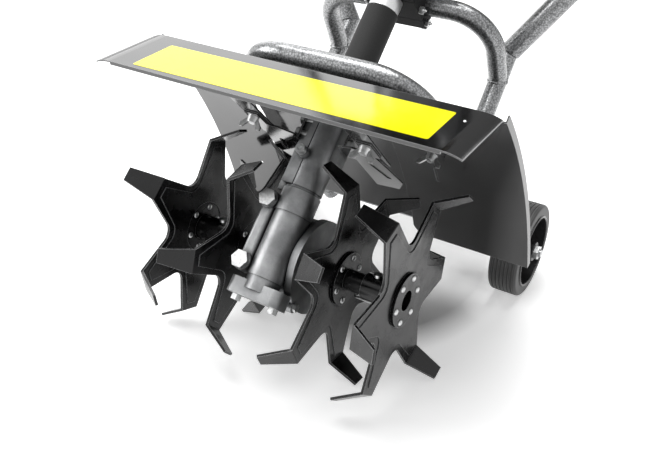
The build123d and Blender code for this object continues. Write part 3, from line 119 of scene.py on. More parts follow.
def seen(tree):
    """Is 1 for what the camera, a gloss or a clear body looks at, and 0 for what lights the object."""
    rays = add(tree, "ShaderNodeLightPath").outputs
    camera_ray, gloss_ray = rays["Is Camera Ray"], rays["Is Glossy Ray"]
    shown = add(tree, "ShaderNodeMath", {0: camera_ray, 1: gloss_ray}, operation="MAXIMUM")
    return add(tree, "ShaderNodeMath", {0: shown, 1: rays["Is Transmission Ray"]}, operation="MAXIMUM")


def stand(name, corners, material):
    """One flat card of the studio."""
    card_mesh = bpy.data.meshes.new(name)
    card_mesh.from_pydata(corners, [], [(0, 1, 2, 3)])
    card_mesh.materials.append(material)
    card = bpy.data.objects.new(name, card_mesh)
    bpy.context.scene.collection.objects.link(card)
    return card


world = bpy.data.worlds.new("studio")
bpy.context.scene.world = world
world.use_nodes = True
tree = world.node_tree
level = add(tree, "ShaderNodeMapRange", {"Value": seen(tree), "To Min": ambient_light, "To Max": 1.0})
background = tree.nodes["Background"]
background.inputs["Color"].default_value = (1, 1, 1, 1)
tree.links.new(level.outputs["Result"], background.inputs["Strength"])

white_card, tree, shader, spot = finish("matt_white_card", Roughness=0.9, Base_Color=linear(card_colour))
shader.inputs["Emission Color"].default_value = linear("#ffffff")
# Painted shadow: the floor's glow is masked out in an ellipse under the machine, so the floor stays dark there and
# in what mirrors it
painted_shadow_space = add(tree, "ShaderNodeMapping", {"Vector": spot}, vector_type="TEXTURE")
painted_shadow_space.inputs["Location"].default_value = (*painted_shadow_middle, 0)
painted_shadow_space.inputs["Scale"].default_value = (*painted_shadow_half, 1)
beside = add(tree, "ShaderNodeVectorMath", {0: painted_shadow_space}, operation="LENGTH").outputs["Value"]
away = add(tree, "ShaderNodeVectorMath", {0: spot}, operation="LENGTH").outputs["Value"]
near = add(tree, "ShaderNodeMapRange", {"Value": beside, "From Min": painted_shadow_start, "From Max": painted_shadow_end})
near.inputs["To Max"].default_value = near_glow
far = add(tree, "ShaderNodeMapRange", {"Value": away, "From Min": far_start, "From Max": far_end})
far.inputs["To Max"].default_value = far_glow
both = add(tree, "ShaderNodeMath", {0: near, 1: far}, operation="ADD")
glow = add(tree, "ShaderNodeMath", {0: both, 1: seen(tree)}, operation="MULTIPLY")
paint(tree, shader, Emission_Strength=glow)
corners = ((-1, -1), (1, -1), (1, 1), (-1, 1))
stand("floor", [(x * floor_half, y * floor_half, 0) for x, y in corners], white_card)
# Painted reflection: a dim glowing card that only reflections see; it casts no shadow and lights nothing
reflection_only_grey_card, tree, shader, spot = finish("painted_reflection_flag", Base_Color=linear("#000000"))
shader.inputs["Emission Color"].default_value = linear("#ffffff")
shader.inputs["Emission Strength"].default_value = flag_reflected_glow
flag_foot = [(flag_left, flag_y, flag_low), (flag_right, flag_y, flag_low)]
flag_head = [(flag_right, flag_y, flag_high), (flag_left, flag_y, flag_high)]
flag = stand("flag", flag_foot + flag_head, reflection_only_grey_card)
flag.visible_camera = flag.visible_shadow = flag.visible_diffuse = False
for name, place, aim, width, height, power in lamps:
    lamp = bpy.data.lights.new(name, "AREA")
    lamp.shape = "RECTANGLE"
    lamp.size, lamp.size_y = width, height
    lamp.energy = power
    lamp_object = bpy.data.objects.new(name, lamp)
    lamp_object.location = place
    lamp_object.rotation_euler = (Vector(aim) - Vector(place)).to_track_quat("-Z", "Y").to_euler()
    lamp_object.visible_camera = False
    bpy.context.scene.collection.objects.link(lamp_object)

# Gear case: sand-cast aluminium with a round side cover and a cap under the worm
# The sand leaves a grain, drawn at 1.8 mm, coarser than it is, so that it shows
# Handling leaves the skin brighter in patches, and painted shade from an occlusion pass darkens the inner corners
mm = 0.001
casting_grain, casting_patch, painted_corner_shade = 1.8 * mm, 22 * mm, 5 * mm
painted_shade_share, patch_share = 0.65, 0.35


def dress(material, *names):
    """Gives a material to CAD nodes."""
    for name in names:
        slots = frame["nodes"][name].data.materials
        slots.clear()
        slots.append(material)


cast_aluminium, tree, shader, spot = finish("sand_cast_aluminium", Metallic=0.75, Roughness=0.42)
patches = add(tree, "ShaderNodeTexNoise", {"Vector": spot, "Scale": 1 / casting_patch, "Detail": 4})
# Painted shade: ambient occlusion darkens the colour in the inner corners and recesses
occlusion_for_painted_shade = add(tree, "ShaderNodeAmbientOcclusion", {"Distance": painted_corner_shade}, samples=6).outputs["AO"]
bare = add(tree, "ShaderNodeMath", {0: occlusion_for_painted_shade, 1: painted_shade_share}, operation="MULTIPLY")
tone_with_painted_shade = add(tree, "ShaderNodeMath", {0: patches, 1: patch_share, 2: bare}, operation="MULTIPLY_ADD")
stops = ((0.4, "#4c4d4e"), (0.76, "#808182"), (0.9, "#aaabac"))
tones = add(tree, "ShaderNodeValToRGB", {"Fac": tone_with_painted_shade}, stops)
grain = add(tree, "ShaderNodeTexNoise", {"Vector": spot, "Scale": 1 / casting_grain, "Detail": 2})
skin = add(tree, "ShaderNodeBump", {"Height": grain, "Strength": 0.5, "Distance": 0.4 * mm})
paint(tree, shader, Base_Color=tones, Normal=skin)
dress(cast_aluminium, "gear_case", "gear_cover", "worm_cap")

# Worm set, shafts and ball bearings: ground steel, with a bronze worm wheel
# They run in grease inside the case, and only the ends of the shafts can be seen
grinding_line, bronze_grain = 0.6 * mm, 1.1 * mm
ground_steel, tree, shader, spot = finish("ground_steel", Metallic=1.0, Roughness=0.28)
lines = add(tree, "ShaderNodeTexNoise", {"Vector": spot, "Scale": 1 / grinding_line, "Detail": 3})
tones = add(tree, "ShaderNodeValToRGB", {"Fac": lines}, ((0.3, "#9a9b9c"), (0.7, "#c4c5c6")))
paint(tree, shader, Base_Color=tones)
dress(ground_steel, "output_shaft", "worm_shaft", "drive_shaft", "wheel_axle")
dress(ground_steel, "worm_bearings", "shaft_bearings")
bronze, tree, shader, spot = finish("cast_bronze", Metallic=1.0, Roughness=0.35)
grain = add(tree, "ShaderNodeTexNoise", {"Vector": spot, "Scale": 1 / bronze_grain, "Detail": 3})
tones = add(tree, "ShaderNodeValToRGB", {"Fac": grain}, ((0.3, "#8f6a32"), (0.7, "#b78d4c")))
paint(tree, shader, Base_Color=tones)
dress(bronze, "worm_wheel")

# Bolts, nuts, pins and plugs: steel with a bright zinc plating
# The plating is even, a little milky, with faint darker flow marks
plating_mark = 3.5 * mm
zinc_plate, tree, shader, spot = finish("bright_zinc_plate", Metallic=1.0, Roughness=0.33)
marks = add(tree, "ShaderNodeTexNoise", {"Vector": spot, "Scale": 1 / plating_mark, "Detail": 2})
tones = add(tree, "ShaderNodeValToRGB", {"Fac": marks}, ((0.3, "#b6b7b7"), (0.65, "#d6d7d7")))
paint(tree, shader, Base_Color=tones)
dress(zinc_plate, "oil_plugs", "hex_bolts", "wing_nuts", "clamp_bolts")
dress(zinc_plate, "axle_fittings", "tine_pins", "hairpin_clips")

# Screws with a hexagon socket: the longest stands on the neck of the gear case and holds the drive tube
# The others hold the crankcase halves, the shroud and the muffler
joints = {joint["name"]: joint for joint in frame["joints"]}
axle = Vector(joints["tine_spin"]["pos_m"])
drive_foot = Vector(joints["drive_spin"]["pos_m"])
drive_dir = Vector(joints["drive_spin"]["axis"])
drive_back = drive_dir.cross(Vector((1, 0, 0)))
neck_screw, neck_screw_r, neck_screw_height = (-4.9 * mm, -28 * mm, 98 * mm), 5.3 * mm, 6.5 * mm
screw_r, screw_height, key_share = 4.6 * mm, 5 * mm, 0.55
case_screw_x, case_screw_back = 35.5 * mm, 37 * mm
case_front, case_rear = 402 * mm, 470 * mm
shroud_screw_x, shroud_screw_along = 37 * mm, 30 * mm
cylinder_along, shroud_top = 436 * mm, 134 * mm
muffler_face, muffler_back, muffler_screw_along = 88 * mm, 86 * mm, 14 * mm


def drive_point(x, back, along):
    """Point beside the drive tube: across, behind it and along it from the worm's middle."""
    return drive_foot + Vector((x, 0, 0)) + drive_back * back + drive_dir * along


def scatter(name, places, build, material, body, slot, **values):
    """Repeats one small form on places, each a point and the way it faces, and keeps it as one mesh."""
    points = bpy.data.meshes.new(name)
    points.from_pydata([point for point, way in places], [], [])
    facing = points.attributes.new("facing", "FLOAT_VECTOR", "POINT")
    for place, (point, way) in enumerate(places):
        facing.data[place].vector = way
    piece = bpy.data.objects.new(name, points)
    bpy.context.scene.collection.objects.link(piece)
    tree = bpy.data.node_groups.new(name, "GeometryNodeTree")
    tree.interface.new_socket("Geometry", in_out="INPUT", socket_type="NodeSocketGeometry")
    tree.interface.new_socket("Geometry", in_out="OUTPUT", socket_type="NodeSocketGeometry")
    modifier = piece.modifiers.new(name, "NODES")
    modifier.node_group = tree
    for label, value in values.items():
        socket = tree.interface.new_socket(label, in_out="INPUT", socket_type="NodeSocketFloat")
        modifier[socket.identifier] = value
    start = add(tree, "NodeGroupInput")
    ways = add(tree, "GeometryNodeInputNamedAttribute", {"Name": "facing"}, data_type="FLOAT_VECTOR")
    way = ways.outputs["Attribute"]
    turn = add(tree, "FunctionNodeAlignRotationToVector", {"Vector": way}, axis="Z")
    form = build(tree, start.outputs)
    copies = add(tree, "GeometryNodeInstanceOnPoints", {
        "Points": start.outputs["Geometry"], "Instance": form, "Rotation": turn.outputs["Rotation"]})
    solid = add(tree, "GeometryNodeRealizeInstances", {"Geometry": copies})
    painted = add(tree, "GeometryNodeSetMaterial", {"Geometry": solid, "Material": material})
    add(tree, "NodeGroupOutput", {"Geometry": painted})
    shaped = piece.evaluated_get(bpy.context.evaluated_depsgraph_get())
    solid_mesh = bpy.data.meshes.new_from_object(shaped)
    piece.modifiers.clear()
    piece.data = solid_mesh
    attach(piece, body)


def socket_head(tree, values):
    """Round head with a hexagon recess, standing on its underside."""
    radius, height = values["radius"], values["height"]
    half = add(tree, "ShaderNodeMath", {0: height, 1: 0.5}, operation="MULTIPLY")
    raised = add(tree, "ShaderNodeCombineXYZ", {"Z": half})
    sunk = add(tree, "ShaderNodeCombineXYZ", {"Z": height})
    key_r = add(tree, "ShaderNodeMath", {0: radius, 1: key_share}, operation="MULTIPLY")
    body = add(tree, "GeometryNodeMeshCylinder", {"Vertices": 32, "Radius": radius, "Depth": height})
    key = add(tree, "GeometryNodeMeshCylinder", {"Vertices": 6, "Radius": key_r, "Depth": height})
    head = add(tree, "GeometryNodeTransform", {"Geometry": body, "Translation": raised})
    hole = add(tree, "GeometryNodeTransform", {"Geometry": key, "Translation": sunk})
    cut = add(tree, "GeometryNodeMeshBoolean", {"Mesh 1": head, "Mesh 2": hole}, operation="DIFFERENCE")
    return cut.outputs["Mesh"]


places = [(drive_point(*neck_screw), -drive_back)]
scatter("neck_screw", places, socket_head, zinc_plate, "chassis", "zinc",
        radius=neck_screw_r, height=neck_screw_height)
places = []
for side in (-1, 1):
    for level in (-1, 1):
        x, back = side * case_screw_x, level * case_screw_back
        places.append((drive_point(x, back, case_front), -drive_dir))
        places.append((drive_point(x, back, case_rear), drive_dir))
        along = cylinder_along + level * shroud_screw_along
        places.append((drive_point(side * shroud_screw_x, -shroud_top, along), -drive_back))
    along = cylinder_along + side * muffler_screw_along
    places.append((drive_point(muffler_face, -muffler_back, along), Vector((1, 0, 0))))
scatter("engine_screws", places, socket_head, zinc_plate, "chassis", "zinc",
        radius=screw_r, height=screw_height)

# Tine stars and hubs: 3 mm spring steel, pressed, bent and dipped in satin black
# The paint is thin on the sharp edges, where a fine bright line is painted, partly bare steel and partly a painted
# highlight
paint_peel, paint_run, edge_wear_and_highlight_width, painted_groove_shade = 2.5 * mm, 26 * mm, 1.6 * mm, 4 * mm
peel_share, edge_start, edge_full = 0.1, 0.99, 0.75
star_rivets, rivet_circle, rivet_r, rivet_height = 6, 23.2 * mm, 3.5 * mm, 2.2 * mm
rivet_turn = {127: 56.8, 59: 60.9}
flange_face, star_face = 5.5 * mm, 1.5 * mm


def edge_wear_and_highlight(tree, width):
    """Is 1 along the sharp edges of a piece and 0 on its faces: the mask of edge wear and of a painted edge
    highlight.
    """
    rounded = add(tree, "ShaderNodeBevel", {"Radius": width}, samples=6)
    flat = add(tree, "ShaderNodeNewGeometry").outputs["Normal"]
    lean = add(tree, "ShaderNodeVectorMath", {0: rounded, 1: flat}, operation="DOT_PRODUCT")
    return add(tree, "ShaderNodeMapRange", {
        "Value": lean.outputs["Value"], "From Min": edge_start, "From Max": edge_full})


satin_black, tree, shader, spot = finish("satin_black_paint", IOR=1.46)
peel = add(tree, "ShaderNodeTexNoise", {"Vector": spot, "Scale": 1 / paint_peel, "Detail": 3})
wear_and_edge_highlight = edge_wear_and_highlight(tree, edge_wear_and_highlight_width)
share = add(tree, "ShaderNodeMath", {0: peel, 1: peel_share, 2: wear_and_edge_highlight}, operation="MULTIPLY_ADD")
stops = ((0.03, "#060607"), (0.08, "#0d0d0e"), (0.3, "#232324"), (1.0, "#9a9b9c"))
tones = add(tree, "ShaderNodeValToRGB", {"Fac": share}, stops)
runs = add(tree, "ShaderNodeTexNoise", {"Vector": spot, "Scale": 1 / paint_run, "Detail": 4})
rough = add(tree, "ShaderNodeMapRange", {
    "Value": runs, "From Min": 0.3, "From Max": 0.7, "To Min": 0.14, "To Max": 0.36})
skin = add(tree, "ShaderNodeBump", {"Height": peel, "Strength": 0.12, "Distance": 0.2 * mm})
# Painted shade: occlusion takes the reflection out of the pressed grooves, so they read dark
occlusion_for_painted_shade = add(tree, "ShaderNodeAmbientOcclusion", {"Distance": painted_groove_shade}, samples=6).outputs["AO"]
specular_with_painted_groove_shade = add(tree, "ShaderNodeMapRange", {
    "Value": occlusion_for_painted_shade, "From Min": 0.55, "From Max": 0.95, "To Max": 0.5})
paint(tree, shader, Base_Color=tones, Roughness=rough, Normal=skin, Specular_IOR_Level=specular_with_painted_groove_shade)
dress(satin_black, "tine_inner_left", "tine_inner_right", "tine_outer_left", "tine_outer_right")
dress(satin_black, "inner_hubs", "outer_hubs")


def dome(tree, values):
    """Low round head: a ball flattened to its height."""
    radius, height = values["radius"], values["height"]
    ball = add(tree, "GeometryNodeMeshUVSphere", {"Segments": 20, "Rings": 10})
    size = add(tree, "ShaderNodeCombineXYZ", {"X": radius, "Y": radius, "Z": height})
    low = add(tree, "GeometryNodeTransform", {"Geometry": ball, "Scale": size})
    return add(tree, "GeometryNodeSetShadeSmooth", {"Geometry": low}).outputs["Geometry"]


places = []
for star, first in rivet_turn.items():
    for side in (-1, 1):
        outward = Vector((side, 0, 0))
        for place in range(star_rivets):
            turn = radians(first + place * 360 / star_rivets)
            middle = axle + outward * star * mm + Vector((0, cos(turn), sin(turn))) * rivet_circle
            places.append((middle + outward * flange_face, outward))
            places.append((middle - outward * star_face, -outward))
scatter("star_rivets", places, dome, zinc_plate, "tines", "zinc", radius=rivet_r, height=rivet_height)

# Sleeve over the drive tube: a black rubber bush with a fine moulded grain
# The tube itself is drawn aluminium, and a bright ring of it shows above the sleeve
rubber_grain, drawing_line = 0.9 * mm, 0.5 * mm
matt_rubber, tree, shader, spot = finish("matt_black_rubber", Roughness=0.75, IOR=1.5)
grain = add(tree, "ShaderNodeTexNoise", {"Vector": spot, "Scale": 1 / rubber_grain, "Detail": 2})
tones = add(tree, "ShaderNodeValToRGB", {"Fac": grain}, ((0.3, "#0d0d0d"), (0.8, "#1d1d1d")))
skin = add(tree, "ShaderNodeBump", {"Height": grain, "Strength": 0.3, "Distance": 0.2 * mm})
paint(tree, shader, Base_Color=tones, Normal=skin)
dress(matt_rubber, "tube_sleeve")
satin_aluminium, tree, shader, spot = finish("drawn_aluminium", Metallic=0.85, Roughness=0.38)
lines = add(tree, "ShaderNodeTexNoise", {"Vector": spot, "Scale": 1 / drawing_line, "Detail": 2})
tones = add(tree, "ShaderNodeValToRGB", {"Fac": lines}, ((0.3, "#d2d3d4"), (0.7, "#ececed")))
paint(tree, shader, Base_Color=tones)
dress(satin_aluminium, "drive_tube", "tube_collar")

# Tube frame and handlebars: 22 mm steel tube in grey hammer finish
# The paint draws into light cells with darker rims, drawn at 2 mm, a little coarse, so that they show
hammer_cell = 2.0 * mm
hammer_paint, tree, shader, spot = finish(
    "hammer_finish_paint", Metallic=0.8, Roughness=0.33, Coat_Weight=0.8, Coat_Roughness=0.16)
cells = add(tree, "ShaderNodeTexVoronoi", {"Vector": spot, "Scale": 1 / hammer_cell, "Randomness": 1.0})
stops = ((0.1, "#acadae"), (0.5, "#808182"), (0.85, "#58595a"))
tones = add(tree, "ShaderNodeValToRGB", {"Fac": cells}, stops)
skin = add(tree, "ShaderNodeBump", {"Height": cells, "Strength": 0.22, "Distance": 0.3 * mm})
paint(tree, shader, Base_Color=tones, Normal=skin)
dress(hammer_paint, "front_loop", "frame_arms", "frame_legs", "arch_tube")
dress(hammer_paint, "handlebar_left", "handlebar_right")

# Weld seams of the frame: a row of overlapping beads round each foot of the legs and of the arch
# They are painted over with the tubes
tube_r, frame_x = 11 * mm, 106 * mm
arm_dir = Vector((0, 181, -263.5)).normalized()
leg_dir = Vector((0, 1, 1)).normalized()
arch_dir = Vector((0, -39.6, 85.1)).normalized()
leg_foot = Vector((0, 171, 39.7)) * mm
arch_foot = leg_foot + Vector((0, 94, 94)) * mm
bead_count, bead_r, bead_height = 28, 2.4 * mm, 1.4 * mm


def seam(foot, branch, main):
    """Places of the beads where one tube's end meets another tube of the same size."""
    beads = []
    across = branch.cross(Vector((1, 0, 0)))
    lean = branch.dot(main)
    for step in range(bead_count):
        turn = 2 * pi * step / bead_count
        radial = Vector((cos(turn), 0, 0)) + across * sin(turn)
        slant = radial.dot(main) * tube_r
        rise = max(slant / (1 - lean), -slant / (1 + lean))
        point = radial * tube_r + branch * rise
        wall = (point - main * point.dot(main)).normalized()
        beads.append((foot + point, (radial + wall).normalized()))
    return beads


places = []
for side in (-1, 1):
    shift = axle + Vector((side * frame_x, 0, 0))
    places += seam(shift + leg_foot, leg_dir, arm_dir)
    places += seam(shift + arch_foot, arch_dir, leg_dir)
scatter("weld_seams", places, dome, hammer_paint, "chassis", "frame_grey",
        radius=bead_r, height=bead_height)

# Clamp between the arch tube and the drive tube: pressure-cast blocks in matt black powder coat
# The coat has an even fine grain and stays dark on every side
powder_grain = 0.8 * mm
powder_coat, tree, shader, spot = finish("matt_black_powder_coat", Roughness=0.7, IOR=1.35)
grain = add(tree, "ShaderNodeTexNoise", {"Vector": spot, "Scale": 1 / powder_grain, "Detail": 2})
tones = add(tree, "ShaderNodeValToRGB", {"Fac": grain}, ((0.3, "#050506"), (0.8, "#0c0c0d")))
skin = add(tree, "ShaderNodeBump", {"Height": grain, "Strength": 0.25, "Distance": 0.15 * mm})
paint(tree, shader, Base_Color=tones, Normal=skin)
dress(powder_coat, "clamp_body", "clamp_front", "clamp_rear")

# Nuts of the two cross bolts on the clamp's flanks, zinc-plated, with the rounded bolt ends standing out
# The upper one pulls the body together, and the lower one the rear half round the arch tube
clamp_flank, clamp_nut_along, clamp_nut_back = 31 * mm, 299 * mm, (20 * mm, 46 * mm)
clamp_nut_r, clamp_nut_height, bolt_share, bolt_reach = 4.6 * mm, 4 * mm, 0.5, 2.0


def hex_nut(tree, values):
    """Hexagon nut, standing on its underside, with the rounded end of its bolt."""
    radius, height = values["radius"], values["height"]
    half = add(tree, "ShaderNodeMath", {0: height, 1: 0.5}, operation="MULTIPLY")
    raised = add(tree, "ShaderNodeCombineXYZ", {"Z": half})
    body = add(tree, "GeometryNodeMeshCylinder", {"Vertices": 6, "Radius": radius, "Depth": height})
    nut = add(tree, "GeometryNodeTransform", {"Geometry": body, "Translation": raised})
    bolt_r = add(tree, "ShaderNodeMath", {0: radius, 1: bolt_share}, operation="MULTIPLY")
    reach = add(tree, "ShaderNodeMath", {0: height, 1: bolt_reach}, operation="MULTIPLY")
    size = add(tree, "ShaderNodeCombineXYZ", {"X": bolt_r, "Y": bolt_r, "Z": reach})
    ball = add(tree, "GeometryNodeMeshUVSphere", {"Segments": 16, "Rings": 12})
    end = add(tree, "GeometryNodeTransform", {"Geometry": ball, "Scale": size})
    smooth = add(tree, "GeometryNodeSetShadeSmooth", {"Geometry": end})
    both = add(tree, "GeometryNodeJoinGeometry", {"Geometry": nut})
    tree.links.new(smooth.outputs["Geometry"], both.inputs["Geometry"])
    return both.outputs["Geometry"]


places = []
for side in (-1, 1):
    for back in clamp_nut_back:
        point = drive_point(side * clamp_flank, back, clamp_nut_along)
        places.append((point, Vector((side, 0, 0))))
scatter("clamp_nuts", places, hex_nut, zinc_plate, "chassis", "zinc",
        radius=clamp_nut_r, height=clamp_nut_height)

# Fender: pressed 1.5 mm sheet in gloss black, with two wings, a centre panel and slotted brackets
# The enamel is smooth and deep, so it mirrors the white floor where that lies in the way
# The thin sheet is never quite flat, which bends what it mirrors
enamel_peel, sheet_wave, sheet_depth, sheet_edge_highlight_width = 6 * mm, 85 * mm, 1.0 * mm, 1.3 * mm
gloss_black, tree, shader, spot = finish("gloss_black_enamel", IOR=1.85)
peel = add(tree, "ShaderNodeTexNoise", {"Vector": spot, "Scale": 1 / enamel_peel, "Detail": 2})
# Sharp edges of the sheet get a light line, partly worn enamel and partly a painted highlight
wear_and_edge_highlight = edge_wear_and_highlight(tree, sheet_edge_highlight_width)
share = add(tree, "ShaderNodeMath", {0: peel, 1: peel_share, 2: wear_and_edge_highlight}, operation="MULTIPLY_ADD")
stops = ((0.03, "#060607"), (0.08, "#0b0b0c"), (0.3, "#2b2b2c"), (1.0, "#a2a3a4"))
tones = add(tree, "ShaderNodeValToRGB", {"Fac": share}, stops)
rough = add(tree, "ShaderNodeMapRange", {"Value": peel, "To Min": 0.08, "To Max": 0.14})
waves = add(tree, "ShaderNodeTexNoise", {"Vector": spot, "Scale": 1 / sheet_wave, "Detail": 1})
sheet = add(tree, "ShaderNodeBump", {"Height": waves, "Distance": sheet_depth})
skin = add(tree, "ShaderNodeBump", {
    "Height": peel, "Strength": 0.03, "Distance": 0.2 * mm, "Normal": sheet})
paint(tree, shader, Base_Color=tones, Roughness=rough, Normal=skin)
dress(gloss_black, "fender_deck", "wing_left", "wing_right", "apron_panel")
dress(gloss_black, "neck_brackets", "deck_struts")

# Label on the deck: one strip of bright yellow gloss vinyl, left bare, stuck down a little askew
# Its cut corners are slightly rounded, and its clear face coat mirrors like the enamel under it
label_length, label_depth, label_corner, label_thickness = 315 * mm, 59 * mm, 2.5 * mm, 0.25 * mm
label_middle, label_turn, corner_steps = Vector((3.4, -16.9, 205)) * mm, 1.0, 5
vinyl_ripple = 30 * mm
yellow_vinyl, tree, shader, spot = finish("yellow_gloss_vinyl", Roughness=0.12, IOR=1.5)
ripple = add(tree, "ShaderNodeTexNoise", {"Vector": spot, "Scale": 1 / vinyl_ripple, "Detail": 3})
tones = add(tree, "ShaderNodeValToRGB", {"Fac": ripple}, ((0.3, "#f2ea12"), (0.7, "#f7f01c")))
skin = add(tree, "ShaderNodeBump", {"Height": ripple, "Strength": 0.02, "Distance": 0.3 * mm})
paint(tree, shader, Base_Color=tones, Normal=skin)
shape = bmesh.new()
rim = []
for corner, (right, back) in enumerate(((1, -1), (1, 1), (-1, 1), (-1, -1))):
    for step in range(corner_steps):
        turn = radians(90 * (corner - 1 + step / (corner_steps - 1)))
        x = right * (label_length / 2 - label_corner) + label_corner * cos(turn)
        y = back * (label_depth / 2 - label_corner) + label_corner * sin(turn)
        rim.append(shape.verts.new((x, y, 0)))
top = bmesh.ops.extrude_face_region(shape, geom=[shape.faces.new(rim)])
raised = [item for item in top["geom"] if isinstance(item, bmesh.types.BMVert)]
bmesh.ops.translate(shape, verts=raised, vec=(0, 0, label_thickness))
bmesh.ops.recalc_face_normals(shape, faces=shape.faces)
shape.transform(Matrix.Translation(axle + label_middle) @ Matrix.Rotation(radians(label_turn), 4, "Z"))
label_mesh = bpy.data.meshes.new("deck_label")
shape.to_mesh(label_mesh)
shape.free()
label_mesh.materials.append(yellow_vinyl)
label = bpy.data.objects.new("deck_label", label_mesh)
bpy.context.scene.collection.objects.link(label)
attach(label, "chassis")

# Rivet of the deck: zinc-plated steel with a low round head, beside the label near the right end
# It is set through the sheet from above, and only its head stands out
deck_rivet, deck_rivet_r, deck_rivet_height = Vector((173, 3.7, 205)) * mm, 1.6 * mm, 1 * mm
places = [(axle + deck_rivet, Vector((0, 0, 1)))]
scatter("deck_rivet", places, dome, zinc_plate, "chassis", "zinc",
        radius=deck_rivet_r, height=deck_rivet_height)

# Tyres: solid black rubber with moulded grooves, and finer lines of the mould between them
# Dust from the road leaves the rubber grey
tread_line, wave_period = 2.3 * mm, 2 * pi / 20
tyre_rubber, tree, shader, spot = finish("dusty_tyre_rubber", Roughness=0.5, IOR=1.5)
lines = add(tree, "ShaderNodeTexWave", {
    "Vector": spot, "Scale": wave_period / tread_line}, bands_direction="X")
tones = add(tree, "ShaderNodeValToRGB", {"Fac": lines}, ((0.1, "#363636"), (0.9, "#4c4c4c")))
skin = add(tree, "ShaderNodeBump", {"Height": lines, "Strength": 0.3, "Distance": 0.3 * mm})
paint(tree, shader, Base_Color=tones, Normal=skin)
dress(tyre_rubber, "tyre_left", "tyre_right")

# Wheels, engine covers and controls: injection-moulded black nylon with a fine satin grain
# Raised edges catch the light, and flat faces stay dark
mould_grain = 0.7 * mm
black_nylon, tree, shader, spot = finish("moulded_black_nylon", Roughness=0.42, IOR=1.53)
grain = add(tree, "ShaderNodeTexNoise", {"Vector": spot, "Scale": 1 / mould_grain, "Detail": 2})
tones = add(tree, "ShaderNodeValToRGB", {"Fac": grain}, ((0.3, "#121213"), (0.8, "#1e1e1f")))
skin = add(tree, "ShaderNodeBump", {"Height": grain, "Strength": 0.15, "Distance": 0.15 * mm})
paint(tree, shader, Base_Color=tones, Normal=skin)
dress(black_nylon, "wheel_left", "wheel_right", "fuel_cap")
dress(black_nylon, "engine_shroud", "air_filter", "starter_housing", "starter_grip")
dress(black_nylon, "throttle_housing", "throttle_trigger", "stop_switch")

# Lips of the wheel rims: a round bead moulded along the outer edge of each rim, where the tyre is seated
# It is polished by the mould and catches a thin line of light
lip_ring, lip_bead, lip_face, bead_steps, bead_sides = 43.6 * mm, 1.7 * mm, 17.5 * mm, 56, 8
polish_mark = 6 * mm
polished_nylon, tree, shader, spot = finish("polished_black_nylon", IOR=1.53)
marks = add(tree, "ShaderNodeTexNoise", {"Vector": spot, "Scale": 1 / polish_mark, "Detail": 3})
tones = add(tree, "ShaderNodeValToRGB", {"Fac": marks}, ((0.3, "#1b1b1c"), (0.8, "#2a2a2b")))
rough = add(tree, "ShaderNodeMapRange", {"Value": marks, "To Min": 0.18, "To Max": 0.32})
paint(tree, shader, Base_Color=tones, Roughness=rough)


def bead(tree, values):
    """Ring of round section."""
    radius, height = values["radius"], values["height"]
    path = add(tree, "GeometryNodeCurvePrimitiveCircle", {"Resolution": bead_steps, "Radius": radius})
    section = add(tree, "GeometryNodeCurvePrimitiveCircle", {"Resolution": bead_sides, "Radius": height})
    tube = add(tree, "GeometryNodeCurveToMesh", {"Curve": path, "Profile Curve": section})
    return add(tree, "GeometryNodeSetShadeSmooth", {"Geometry": tube}).outputs["Geometry"]


for side, wheel in ((-1, "wheel_left"), (1, "wheel_right")):
    outward = Vector((side, 0, 0))
    places = [(Vector(joints[wheel + "_roll"]["pos_m"]) + outward * lip_face, outward)]
    scatter(wheel + "_lip", places, bead, polished_nylon, wheel, "wheel_black",
            radius=lip_ring, height=lip_bead)

# Engine castings: die-cast aluminium crankcase, finned cylinder and clutch housing
# The skin is bright and slightly rough from the die
die_grain = 0.8 * mm
die_cast, tree, shader, spot = finish("die_cast_aluminium", Metallic=0.9, Roughness=0.4)
grain = add(tree, "ShaderNodeTexNoise", {"Vector": spot, "Scale": 1 / die_grain, "Detail": 3})
tones = add(tree, "ShaderNodeValToRGB", {"Fac": grain}, ((0.3, "#8f9091"), (0.75, "#b9babb")))
skin = add(tree, "ShaderNodeBump", {"Height": grain, "Strength": 0.2, "Distance": 0.2 * mm})
paint(tree, shader, Base_Color=tones, Normal=skin)
dress(die_cast, "crankcase", "cylinder", "clutch_housing", "clutch_drum")

# Muffler: a pressed steel box, browned in patches by its own heat
# Two of the socket screws hold it to the side of the cylinder
scale_patch = 14 * mm
heated_steel, tree, shader, spot = finish("heat_tinted_steel", Metallic=0.9)
patches = add(tree, "ShaderNodeTexNoise", {"Vector": spot, "Scale": 1 / scale_patch, "Detail": 5})
tones = add(tree, "ShaderNodeValToRGB", {"Fac": patches}, ((0.3, "#5b534c"), (0.7, "#8f8a85")))
rough = add(tree, "ShaderNodeMapRange", {"Value": patches, "To Min": 0.38, "To Max": 0.6})
paint(tree, shader, Base_Color=tones, Roughness=rough)
dress(heated_steel, "muffler")

# Fuel tank: blow-moulded natural polyethylene, milky, with a soft satin skin
# It sits under the crankcase, and its cap is of the same black nylon as the covers
tank_skin = 1.5 * mm
natural_polyethylene, tree, shader, spot = finish("natural_polyethylene", Roughness=0.4, IOR=1.52)
grain = add(tree, "ShaderNodeTexNoise", {"Vector": spot, "Scale": 1 / tank_skin, "Detail": 2})
tones = add(tree, "ShaderNodeValToRGB", {"Fac": grain}, ((0.3, "#d4d3cc"), (0.8, "#e4e3dd")))
skin = add(tree, "ShaderNodeBump", {"Height": grain, "Strength": 0.1, "Distance": 0.2 * mm})
paint(tree, shader, Base_Color=tones, Normal=skin)
dress(natural_polyethylene, "fuel_tank")

